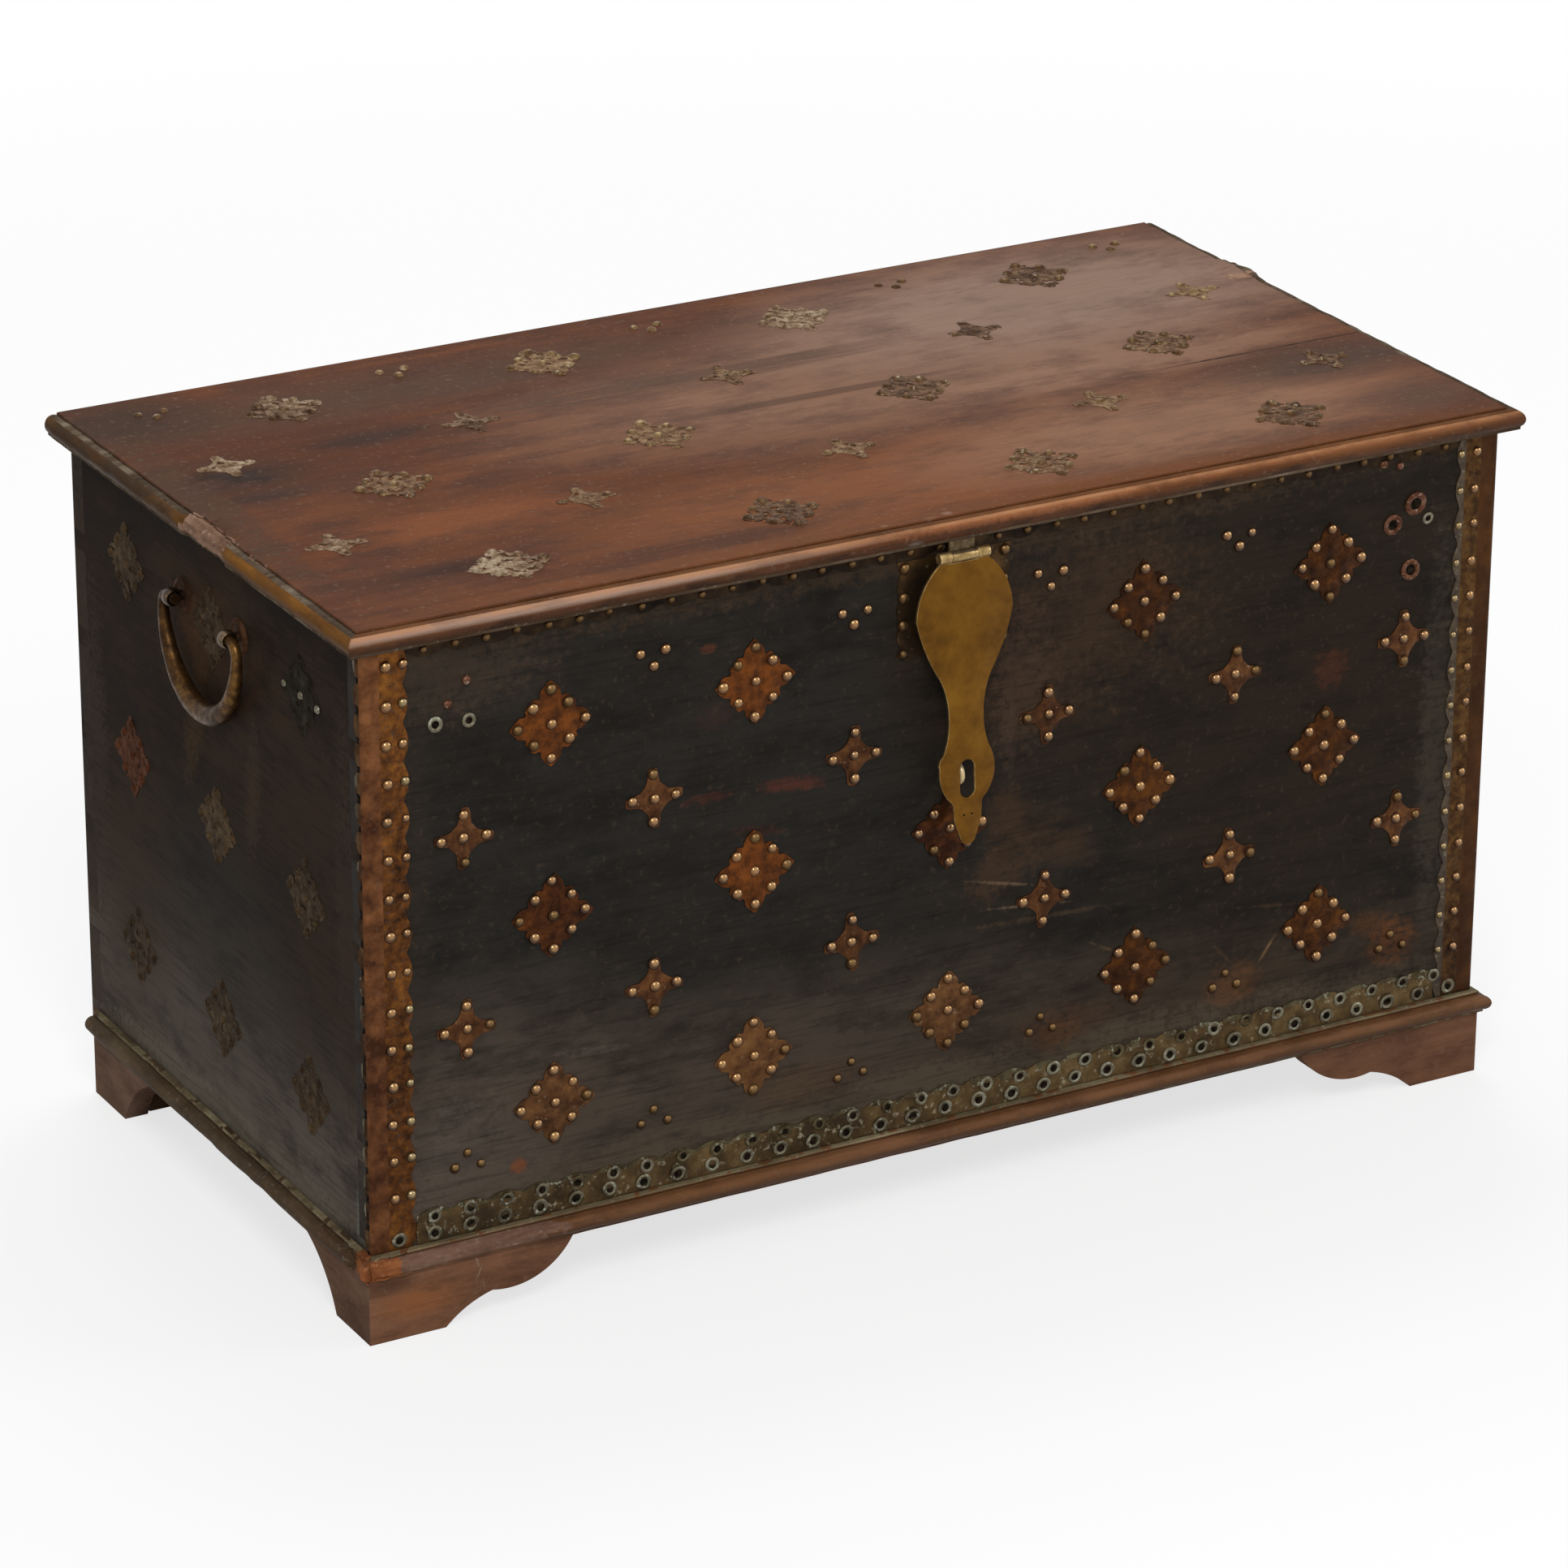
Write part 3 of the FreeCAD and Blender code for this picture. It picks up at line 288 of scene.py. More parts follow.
left_teak = teak(
    "dark_teak_left_end", along="Y", inward=(1, 0, 0), shades=end_patina, streak=0.2, pores=0.36,
    haze=("#30261e", 0.6), flecks=("#453b32", 0.3), shine=0.55, gloss=0.012,
    laid_marks=marks("X", -half_length, left_marks_and_shadow),
)
right_marks_and_shadow = [
    (0.00, 0.12, 0.50, 0.16, 0, "#4a423b", 0.9, "wash"),
    # Darker brown inside the bail's loop: a rust tint, and painted shadow of the bail
    (0.05, 0.47, 0.16, 0.10, 0, "#35281e", 0.9, "clouds"),
    (-0.22, 0.33, 0.030, 0.25, 0, "#382d25", 0.7, "grit"),
]
right_teak = teak(
    "dark_teak_right_end", along="Y", inward=(-1, 0, 0), shades=end_patina, streak=0.2, pores=0.12,
    haze=("#30261e", 0.6), flecks=("#3d332b", 0.2), shine=0.55, gloss=0.012,
    laid_marks=marks("X", half_length, right_marks_and_shadow),
)
back_rubs = [
    (0.0, 0.11, 0.7, 0.12, 0, "#4a4139", 0.9, "wash"),
    (0.2, 0.40, 0.5, 0.10, 0, "#3b2e25", 0.8, "streaks"),
]
back_teak = teak(
    "dark_teak_back", along="X", inward=(0, -1, 0), shades=["#1e1712", "#2b221b", "#3a2e25", "#130e0b"],
    streak=0.6, pores=0.4, haze=("#3b2c21", 0.6), flecks=("#5a4f45", 0.35), shine=0.6, gloss=0.04,
    laid_marks=marks("Y", back_y, back_rubs),
)
dress(["front_board"], front_teak)
dress(["left_end_board"], left_teak)
dress(["right_end_board"], right_teak)
dress(["back_board"], back_teak)

# Bottom planks and glue blocks: plain sawn teak that was never polished, nailed up from beneath.
# They show only from under the chest and when the lid stands open.
sawn_teak = teak(
    "sawn_teak", along="X", inward=(0, 0, -1), shades=["#4a3425", "#5b412f", "#6f523c", "#352418"],
    streak=0.8, pores=0.7, haze=("#3d2b1e", 0.5), flecks=("#7d6a58", 0.4), shine=0.75, gloss=0.1,
)
dress(["bottom_plank_front", "bottom_plank_middle", "bottom_plank_back", "foot_glue_blocks"], sawn_teak)

# Base moulding: a bead over a half-round nose in red-brown teak, mitred at the front corners and nailed.
# The left front corner has broken away and shows raw orange wood, and the nose beside it is scuffed grey.
# Old polish and brass dust lie in a pale line along its top.
# The front run's upper nose is tinted lighter, a painted highlight, and its underside darker, painted shade
moulding_teak = teak(
    "red_teak_front_moulding", along="X", inward=(0, 1, 0),
    shades=["#4d321f", "#62432c", "#74523a", "#351f12"], streak=0.5, pores=0.3, haze=("#54391f", 0.6),
    flecks=("#7d6a5a", 0.3), shine=0.36, gloss=0.12,
    tints_by_facing=[((0, -0.7, 0.71), "#72492a", 0.5, 0.75, 1.0), ((0, -0.3, -0.95), "#2f1c10", 0.8, 0.1, 0.8)],
)
end_moulding_teak = teak(
    "red_teak_end_moulding", along="Y", inward=(0, 0, -1),
    shades=["#33251a", "#483626", "#5c4a36", "#241810"], streak=0.4, pores=0.3, haze=("#5c523f", 0.6),
    flecks=("#8a8270", 0.5), shine=0.5, gloss=0.04,
)
raw_teak = teak(
    "broken_teak", along="X", inward=(0, 1, 0), shades=["#6a3c22", "#8a5432", "#a06c48", "#4d2814"],
    streak=0.3, pores=0.5, haze=("#6b4028", 0.5), flecks=("#b08a6a", 0.6), shine=0.8, gloss=0.05,
)
scuffed_teak = teak(
    "scuffed_teak", along="X", inward=(0, 1, 0), shades=["#54392c", "#6f5344", "#866a59", "#3a291e"],
    streak=0.4, pores=0.4, haze=("#5c463a", 0.5), flecks=("#a08c7c", 0.6), shine=0.8, gloss=0.05,
)
polish_line = teak(
    "dried_polish_on_teak", along="X", inward=(0, 1, 0),
    shades=["#44382a", "#685b44", "#8c8166", "#30261a"], streak=0.5, pores=0.3, haze=("#5c543c", 0.6),
    flecks=("#aaa486", 0.6), shine=0.6, gloss=0.05,
)
moulding_height = carcase_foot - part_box("base_moulding_front")[0].z
base_nose = (0.0135, 0.0080)
base_quirk = (0.0062, 0.0146)
base_fillet = (0.0085, 0.0018)
bead_foot = (0.004, moulding_height - 0.0032)
bead_side = (0.0056, moulding_height - 0.0016)
bead_top = (0.004, moulding_height)


def arc_through(start, middle, end, count):
    """Points along an arc from its start, through its middle, to its end."""
    first, second, last = (complex(*point) for point in (start, middle, end))
    ratio = (last - first) / (second - first)
    centre = first - (first - second) * (ratio - abs(ratio) ** 2) / (2j * ratio.imag)
    turn = cmath.phase((second - centre) / (first - centre))
    turn += cmath.phase((last - centre) / (second - centre))
    turns = [turn * step / count for step in range(count + 1)]
    points = [centre + (first - centre) * cmath.exp(1j * angle) for angle in turns]
    return [(point.real, point.imag) for point in points]


def moulded_run(profile, pitch, length, place):
    """A run of moulding: its profile carried along its length, and closed at both ends."""
    bm = bmesh.new()
    sides = len(profile)
    bmesh.ops.create_grid(bm, x_segments=sides, y_segments=round(length / pitch), size=0.5)
    for vert in bm.verts:
        out, rise = profile[round((vert.co.x + 0.5) * sides) % sides]
        vert.co = place(out, rise, vert.co.y + 0.5)
    bmesh.ops.remove_doubles(bm, verts=bm.verts, dist=0.000005)
    bmesh.ops.holes_fill(bm, edges=bm.edges)
    bmesh.ops.recalc_face_normals(bm, faces=bm.faces)
    return bm


def wear(bm, inward, depth, size):
    """Rubs the surface in by a soft uneven depth."""
    for vert in bm.verts:
        vert.co += inward * depth * max(0.0, noise.noise(vert.co / size) + 0.1)


def as_mesh(bm, name):
    """Turns a working mesh into mesh data."""
    mesh = bpy.data.meshes.new(name)
    bm.to_mesh(mesh)
    bm.free()
    return mesh


def piece(name, bm, materials, body, replaced, sharp=35):
    """Makes a finished piece of a mesh, gives it its body, and hides the CAD node it stands for."""
    for face in bm.faces:
        face.smooth = True
    mesh = as_mesh(bm, name)
    for material in materials:
        mesh.materials.append(material)
    made = bpy.data.objects.new(name, mesh)
    bpy.context.scene.collection.objects.link(made)
    mesh.set_sharp_from_angle(angle=math.radians(sharp))
    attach(made, body)
    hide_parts(replaced)


along_x = Vector((1, 0, 0))
along_y = Vector((0, 1, 0))
base_profile = [(0.0, 0.0), (base_fillet[0], 0.0)]
base_profile += arc_through(base_fillet, base_nose, base_quirk, 9)
base_profile += arc_through(bead_foot, bead_side, bead_top, 5) + [(0.0, moulding_height)]
moulding_foot = carcase_foot - moulding_height
moulding_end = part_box("base_moulding_left")[1].y
splinter_size = 0.006
patch_size = 0.008
break_right = -0.480
break_run = 0.022
break_shade = 0.014
break_seat = 0.003
break_face = 0.0055
scuff_right = -0.345
scuff_fade = 0.03
scuff_seat = 0.005
foot_crust_left = 0.15
ends = [(-1, "left"), (1, "right")]


def front_run(foot):
    """Places along a front run of moulding, whose mitred ends reach further out with the profile."""

    def place(out, rise, share):
        return Vector(((share * 2 - 1) * (half_length + out), front_y - out, foot + rise))

    return place


def end_run(side, foot, back):
    """Places along an end run of moulding, from its mitre at the front to its square end at the back."""

    def place(out, rise, share):
        start = front_y - out
        return Vector((side * (half_length + out), start + share * (back - start), foot + rise))

    return place


front_moulding = moulded_run(base_profile, 0.004, 2 * half_length, front_run(moulding_foot))
wear(front_moulding, along_y, depth=0.0010, size=0.03)
for vert in front_moulding.verts:
    rough = noise.noise(vert.co / splinter_size)
    out = front_y - vert.co.y
    fade = min(1.0, max(0.0, (scuff_right + 0.01 * rough - vert.co.x) / scuff_fade))
    if vert.co.x < break_right + rough * 0.012 and out > break_seat:
        vert.co.y = front_y - break_face - 0.0035 * rough - 0.25 * (out - break_seat)
        vert.co.z += 0.0020 * noise.noise(vert.co / 0.004)
    elif out > scuff_seat:
        vert.co.y += fade * (out - scuff_seat) * (0.42 + 0.3 * rough)
front_finishes = [moulding_teak, raw_teak, scuffed_teak, polish_line]
for face in front_moulding.faces:
    centre = face.calc_center_median()
    rough = noise.noise(centre / patch_size)
    rise = centre.z - moulding_foot
    crusted = rise < 0.0015 and centre.x > foot_crust_left and rough > -0.1
    finish = moulding_teak
    if (rise > moulding_height - 0.0010 and rough > -0.25) or crusted:
        finish = polish_line
    elif centre.x < break_right + rough * 0.014 and rise < moulding_height - 0.002:
        finish = raw_teak
    elif centre.x < scuff_right + rough * 0.03 and 0.001 < rise < base_quirk[1] + 0.001:
        finish = scuffed_teak
    face.material_index = front_finishes.index(finish)
piece("front_base_moulding", front_moulding, front_finishes, "carcase", "base_moulding_front")
end_finishes = [end_moulding_teak, polish_line, raw_teak]
for side, name in ends:
    run = end_run(side, moulding_foot, moulding_end)
    end_moulding = moulded_run(base_profile, 0.005, moulding_end - front_y, run)
    wear(end_moulding, along_x * -side, depth=0.0014, size=0.025)
    for vert in end_moulding.verts:
        rough = noise.noise(vert.co / splinter_size)
        near_break = side < 0 and vert.co.y < front_y + break_run + 0.008 * rough
        if near_break and vert.co.x < -half_length - 0.004:
            vert.co.x = -half_length - break_face - 0.002 * rough
    for face in end_moulding.faces:
        centre = face.calc_center_median()
        rough = noise.noise(centre / patch_size)
        broken = side < 0 and centre.y < front_y + break_shade + 0.010 * rough
        polished = centre.z > carcase_foot - 0.0012 and rough > -0.2
        finish = raw_teak if broken else polish_line if polished else end_moulding_teak
        face.material_index = end_finishes.index(finish)
    moulding_name = name + "_base_moulding"
    piece(moulding_name, end_moulding, end_finishes, "carcase", "base_moulding_" + name)

# Bracket feet: sawn and shaped brackets of red-brown teak, mitred at the corners and glued to blocks.
# Their faces are rubbed paler than the moulding, and the left front one has a hairline crack.
foot_rubs = [
    (-0.4140, 0.050, 0.0013, 0.009, -0.25, "#8a7260", 0.7, "clouds"),
    (-0.4125, 0.039, 0.0013, 0.009, 0.40, "#8a7260", 0.7, "clouds"),
    (-0.4085, 0.029, 0.0013, 0.008, -0.10, "#80695a", 0.6, "clouds"),
    (-0.46, 0.028, 0.05, 0.018, 0, "#80502f", 0.8, "clouds"),
    (-0.49, 0.048, 0.03, 0.012, 0, "#4a3122", 0.8, "clouds"),
]
foot_teak = teak(
    "red_teak_feet", along="X", inward=(0, 0, 1), shades=["#583a2a", "#6e4b36", "#815a43", "#3d2616"],
    streak=0.35, pores=0.3, haze=("#5a3d2d", 0.6), flecks=("#8a7462", 0.25), shine=0.5, gloss=0.08,
    laid_marks=marks("Y", front_y - 0.005, foot_rubs, depth=0.2),
)
side_foot_teak = teak(
    "dull_teak_side_feet", along="Y", inward=(0, 0, 1),
    shades=["#4f392c", "#664c3d", "#7a5f50", "#352318"], streak=0.3, pores=0.3, haze=("#6b584b", 0.6),
    flecks=("#857668", 0.3), shine=0.6, gloss=0.02,
)
for name in nodes:
    if name.startswith("foot_") and name != "foot_glue_blocks":
        dress([name], side_foot_teak if name.endswith("_side") else foot_teak)

# Corner straps: brass sheet folded round the front corners, scalloped on the front, toothed on the end.
# The fold is red-brown, the band under the studs golden, and the teeth black with wax and pale at the tips.
# The left one has split across at two places and been hammered flat again. The right one is darker.
sheet = 0.0008
luck = random.Random(11)


def brass(name, shades, crust, patch, shine, coat=0.0, rubbed_and_lit=None, metal=0.9, gloss=0.5):
    """Old brass: blotches from grime to bright metal, a crust in places, and paler where it faces one way:
    worn, and a painted highlight.
    """
    material, tree, shader, where = new_material(name)
    # Hammer marks are 6 mm across, crust is finer than the blotches, and tarnish drifts over 130 mm
    hammer_size = 0.006
    crust_size = patch / 2.7
    drift_size = 0.13
    spot = where.outputs["Object"]
    blotches = add(
        tree, "TexNoise", {"Vector": spot, "Scale": 1 / patch, "Detail": 6.0, "Roughness": 0.65}
    )
    drift = add(tree, "TexNoise", {"Vector": spot, "Scale": 1 / drift_size, "Detail": 2.0})
    tarnish = add(
        tree, "Math", {0: drift.outputs["Fac"], 1: 0.6, 2: blotches.outputs["Fac"]},
        operation="MULTIPLY_ADD",
    )
    colour = add(
        tree, "ValToRGB", {"Fac": tarnish.outputs[0]},
        stops=[(0.6, shades[0]), (1.0, shades[2]), (0.8, shades[1])],
    ).outputs["Color"]
    if rubbed_and_lit:
        faced = add(
            tree, "VectorMath", {0: where.outputs["Normal"], 1: rubbed_and_lit[0]}, operation="DOT_PRODUCT"
        )
        crown = [(0.75, 0.0), (0.99, 0.9)]
        colour = stain(tree, colour, faced.outputs["Value"], crown, srgb(rubbed_and_lit[1]))
    crusted = add(
        tree, "TexNoise", {"Vector": spot, "Scale": 1 / crust_size, "Detail": 5.0, "Roughness": 0.7}
    )
    crust_mask = add(
        tree, "ValToRGB", {"Fac": crusted.outputs["Fac"]},
        stops=[(crust[1], 0.0), (crust[1] + 0.08, 0.85)],
    )
    layers = {0: crust_mask.outputs["Color"], 6: colour, 7: srgb(crust[0])}
    colour = add(tree, "Mix", layers, data_type="RGBA").outputs[2]
    tree.links.new(colour, shader.inputs["Base Color"])
    metallic = add(tree, "MapRange", {"Value": crust_mask.outputs["Color"], 3: metal, 4: metal / 9})
    tree.links.new(metallic.outputs["Result"], shader.inputs["Metallic"])
    polish = add(
        tree, "MapRange",
        {"Value": blotches.outputs["Fac"], 1: 0.35, 2: 0.65, 3: shine + 0.14, 4: shine - 0.08},
    )
    tree.links.new(polish.outputs["Result"], shader.inputs["Roughness"])
    shader.inputs["Specular IOR Level"].default_value = gloss
    shader.inputs["Coat Weight"].default_value = coat
    shader.inputs["Coat Roughness"].default_value = 0.15
    hammered = add(tree, "TexNoise", {"Vector": spot, "Scale": 1 / hammer_size, "Detail": 2.0})
    relief = add(tree, "Bump", {"Height": hammered.outputs["Fac"], "Strength": 0.35, "Distance": 0.0008})
    tree.links.new(relief.outputs["Normal"], shader.inputs["Normal"])
    return material


painted_hollow_shade, hollow_tree, hollow_shader, hollow_where = new_material("painted_shade_in_hollows")
# Painted shade for holes, hollows and the notches between teeth, broken in specks three to 10 mm
hollow_speck = 0.01 / 3
hollow_spot = hollow_where.outputs["Object"]
hollow_noise = add(hollow_tree, "TexNoise", {"Vector": hollow_spot, "Scale": 1 / hollow_speck})
hollow_colour = add(
    hollow_tree, "ValToRGB", {"Fac": hollow_noise.outputs["Fac"]},
    stops=[(0.4, "#0f0c09"), (0.7, "#2a2219")],
)
hollow_tree.links.new(hollow_colour.outputs["Color"], hollow_shader.inputs["Base Color"])
hollow_shader.inputs["Roughness"].default_value = 0.9
hollow_shader.inputs["Specular IOR Level"].default_value = 0.02
stud_band_brass = brass(
    "golden_strap_brass", ["#2f1a0a", "#5c3616", "#80501e"], ("#2b1a0c", 0.58), 0.009, 0.42
)
fold_brass = brass(
    "red_brown_strap_brass", ["#3c2112", "#623c22", "#7d5030"], ("#4a2c19", 0.62), 0.016, 0.46
)
dark_band_brass = brass(
    "dark_gold_strap_brass", ["#27170a", "#422a13", "#5f4220"], ("#2b1c0f", 0.6), 0.009, 0.45
)
dark_fold_brass = brass(
    "dark_brown_strap_brass", ["#2b170a", "#3f2511", "#523215"], ("#3a2615", 0.66), 0.03, 0.45
)
dusty_edge_brass = brass(
    "dusty_strap_edge_brass", ["#221a11", "#37291a", "#4d3d28"], ("#6f6350", 0.58), 0.012, 0.6, metal=0.3
)
waxed_flange = brass(
    "black_strap_brass", ["#291d14", "#432f20", "#5e462f"], ("#5c5646", 0.64), 0.014, 0.7, metal=0.0,
    gloss=0.01,
)
tooth_tip = brass(
    "verdigris_tooth_tips", ["#40382c", "#625b4c", "#868172"], ("#9b9d92", 0.6), 0.012, 0.7, metal=0.0,
    gloss=0.01,
)
scallop_pitch = 0.030
scallop_depth = 0.0045
base_strip_width = 0.028
tooth_pitch = 0.0235
tooth_depth = 0.006
strap_gap = 0.0005
strap_foot = carcase_foot + strap_gap
strap_top = carcase_top - strap_gap
strap_height = strap_top - strap_foot
strap_insets = [0.038, 0.034, 0.030, 0.025, 0.020, 0.015, 0.010, 0.005, 0.002]
strap_width = strap_insets[0]
fold_radius = 0.0024
fold_turns = [15, 45, 75]
flange_insets = [0.002, 0.004, 0.006, 0.008, 0.010]
split_heights = [0.3805, 0.3122]
split_half = 0.0016
split_lip = 0.0009
sheet_pitch = 0.0025
dent_size = 0.03
dent_depth = 0.0006
dent_floor = -0.0005
fold_inset = 0.0125
notch_share = 0.62


def scallop(run, length, pitch, depth):
    """How far a scalloped edge stands in from its furthest reach, at a place along it."""
    count = max(1, round(length / pitch))
    return depth * (1 - abs(math.sin(math.pi * count * run / length)))


def strap_section():
    """Places across a strap, from its inner edge on the front, round the fold, to its edge on the end."""
    places = [(-inset, -sheet) for inset in strap_insets]
    for turn in fold_turns:
        angle = math.radians(turn)
        out = sheet - fold_radius + fold_radius * math.sin(angle)
        places.append((out, fold_radius - sheet - fold_radius * math.cos(angle)))
    return places + [(sheet, inset) for inset in flange_insets]


def turn_edges_down(bm, down):
    """Gives a thin plate its edge, by drawing its open border down into what it lies on."""
    border = [edge for edge in bm.edges if edge.is_boundary]
    drawn = bmesh.ops.extrude_edge_only(bm, edges=border)
    for item in drawn["geom"]:
        if isinstance(item, bmesh.types.BMVert):
            item.co = down(item.co)


def face_front(bm):
    """Turns a plate's faces so that they look out of the front."""
    bm.normal_update()
    if sum(face.normal.y * face.calc_area() for face in bm.faces) > 0:
        bmesh.ops.reverse_faces(bm, faces=bm.faces)


section = strap_section()
band, fold, flange, tip, notch, inner_edge = range(6)
strap_finishes = {
    -1: [stud_band_brass, fold_brass, waxed_flange, tooth_tip, painted_hollow_shade, stud_band_brass],
    1: [dark_band_brass, dark_fold_brass, waxed_flange, tooth_tip, painted_hollow_shade, dusty_edge_brass],
}
for side, name in ends:
    strap = bmesh.new()
    rows = round(strap_height / sheet_pitch)
    bmesh.ops.create_grid(strap, x_segments=len(section) - 1, y_segments=rows, size=0.5)
    for vert in strap.verts:
        column = round((vert.co.x + 0.5) * (len(section) - 1))
        run = (vert.co.y + 0.5) * strap_height
        z = strap_foot + run
        out, back = section[column]
        dent = noise.noise(Vector((column * 0.4, side * 3, z / dent_size))) * dent_depth
        lip = sum(math.exp(-(((z - split) / split_half) ** 2)) for split in split_heights)
        lift = max(dent_floor, dent) + (lip * split_lip if side < 0 else 0.0)
        if column < len(strap_insets):
            edge = max(0.0, 1 - column * 0.6)
            above = run - base_strip_width
            out += scallop(above, strap_height - base_strip_width, scallop_pitch, scallop_depth) * edge
            back -= lift
        elif column >= len(section) - len(flange_insets):
            cut = scallop(run, strap_height, tooth_pitch, tooth_depth)
            back = min(back, flange_insets[-1] - cut - (len(section) - 1 - column) * 0.0004)
            out += lift
        vert.co = Vector((side * (half_length + out), front_y + back, z))
    face_front(strap)
    for face in strap.faces:
        centre = face.calc_center_median()
        back = centre.y - front_y
        gap = scallop(centre.z - strap_foot, strap_height, tooth_pitch, 1.0)
        if back < flange_insets[0] / 2:
            inset = half_length - abs(centre.x)
            finish = fold if inset < fold_inset else band
            face.material_index = inner_edge if inset > strap_insets[2] else finish
        # The notches between the teeth, where the wood shows, take painted shade
        elif gap > notch_share:
            face.material_index = notch
        else:
            pale = back > 0.0065 and gap < 0.45 and noise.noise(centre / 0.018) > 0.1
            face.material_index = tip if pale else flange
    turn_edges_down(
        strap, lambda co: Vector((side * min(abs(co.x), half_length), max(co.y, front_y), co.z))
    )
    strap_name = name + "_corner_strap"
    replaced = "corner_strap_" + name
    piece(strap_name, strap, strap_finishes[side], "carcase", replaced, sharp=50)

# Front strips: a wide scalloped strip along the foot of the front and a narrow one under the lid.
# Both are thin brass and lie nailed flat on the wood between the straps. The wide one is olive with age,
# and the narrow one under the lid is darker brown, painted shade from the lid above it.
# A pale crust of old polish has gathered along the wide one's scalloped edge.
strip_brass = brass("olive_strip_brass", ["#392c1d", "#554329", "#705b3b"], ("#8a8168", 0.57), 0.02, 0.5)
crusted_brass = brass(
    "crusted_strip_brass", ["#332918", "#4f4530", "#6a6147"], ("#8d8b76", 0.57), 0.014, 0.6
)
# The narrow strip's dark brown is painted shade from the lid's overhang
shaded_top_strip_brass = brass(
    "brown_shaded_strip_brass", ["#18110b", "#281c12", "#3e2d19"], ("#51452f", 0.68), 0.02, 0.5
)
strip_half = half_length - strap_width
top_strip_width = 0.0125
crust_start = 0.84


def scalloped_strip(width, straight_z, way):
    """A flat strip on the front with one straight edge and one scalloped edge."""
    bm = bmesh.new()
    length = 2 * strip_half
    bmesh.ops.create_grid(bm, x_segments=round(length / sheet_pitch), y_segments=7, size=0.5)
    for vert in bm.verts:
        run = (vert.co.x + 0.5) * length
        share = vert.co.y + 0.5
        reach = share * width - scallop(run, length, scallop_pitch, scallop_depth) * share**3
        dent = noise.noise(Vector((run / dent_size, share, width * 90))) * dent_depth
        y = front_y - sheet - max(dent_floor, dent)
        vert.co = Vector((run - strip_half, y, straight_z + reach * way))
    face_front(bm)
    for face in bm.faces:
        centre = face.calc_center_median()
        edge = abs(centre.z - straight_z) / width - 0.25 * noise.noise(centre / 0.012)
        face.material_index = int(edge > crust_start)
    turn_edges_down(bm, lambda co: Vector((co.x, front_y, co.z)))
    return bm


base_strip = scalloped_strip(base_strip_width, strap_foot, 1)
piece(
    "base_strip", base_strip, [strip_brass, crusted_brass], "carcase", "front_base_strip"
)
top_strip = scalloped_strip(top_strip_width, strap_top, -1)
top_finishes = [shaded_top_strip_brass, shaded_top_strip_brass]
piece("top_strip", top_strip, top_finishes, "carcase", "front_top_strip")

# Front plates: diamonds and four-pointed stars cut from brass sheet, beaten over the wood, held by studs.
# They are orange-brown, and golden where a rag has reached.
# A lock plate with scalloped sides is nailed on behind the hasp.
plate_brass = brass(
    "tarnished_plate_brass", ["#2b1408", "#4b280f", "#723e16"], ("#6a3f1a", 0.66), 0.012, 0.42
)
dark_plate_brass = brass(
    "dark_plate_brass", ["#241106", "#3d210b", "#5c340f"], ("#5a3816", 0.66), 0.012, 0.42
)
star_brass = brass(
    "tarnished_star_brass", ["#301b0d", "#4f301a", "#6e4726"], ("#7d5f42", 0.62), 0.012, 0.45
)
dusty_plate_brass = brass(
    "dusty_plate_brass", ["#33200f", "#553720", "#6f4b2a"], ("#75593a", 0.6), 0.012, 0.5
)
diamond_half = 0.0345
diamond_bulge = 1.05
notch_depth = 0.0042
notch_turn = 0.42
notch_spread = 0.085
star_half = 0.0245
star_waist = 0.0122
star_arm = 0.0046
plate_segments = 24
stud_hold = 0.007
plate_dent_size = 0.009
ragged_size = 0.006
diamond_crown = 0.0018
star_crown = 0.0014
front_turn = Matrix(((1, 0, 0), (0, 0, -1), (0, 1, 0)))


def even(start, end, count):
    """Evenly spaced places from a start to an end."""
    return [start + (end - start) * step / (count - 1) for step in range(count)]


def between(places):
    """The places half way between neighbours."""
    return [(near + far) / 2 for near, far in zip(places, places[1:])]


def diamond_reach(angle):
    """How far a diamond's edge is from its middle: full sides, with notches beside each tip's stud."""
    full = abs(math.cos(angle)) ** diamond_bulge + abs(math.sin(angle)) ** diamond_bulge
    off_tip = abs((angle + math.pi / 4) % (math.pi / 2) - math.pi / 4)
    notch = notch_depth * math.exp(-(((off_tip - notch_turn) / notch_spread) ** 2))
    return diamond_half * full ** (-1 / diamond_bulge) - notch


def star_reach(angle):
    """How far a star's edge is from its middle: four round-ended arms that run together at the waist."""
    across = max(0.01, min(abs(math.cos(angle)), abs(math.sin(angle))))
    flank = ((star_arm / across) ** 4 + star_waist**4) ** 0.25
    return (flank**-6 + star_half**-6) ** (-1 / 6)


def diamond_places():
    """Stud places on a diamond: its middle, its four tips and the middles of its sides."""
    tip = diamond_half * 0.81
    side = diamond_half * 0.44
    tips = [(tip, 0), (0, tip), (-tip, 0), (0, -tip)]
    return [(0, 0)] + tips + [(side, side), (-side, side), (-side, -side), (side, -side)]


def star_places():
    """Stud places on a star: its middle and its four points."""
    tip = star_half * 0.77
    return [(0, 0), (tip, 0), (0, tip), (-tip, 0), (0, -tip)]


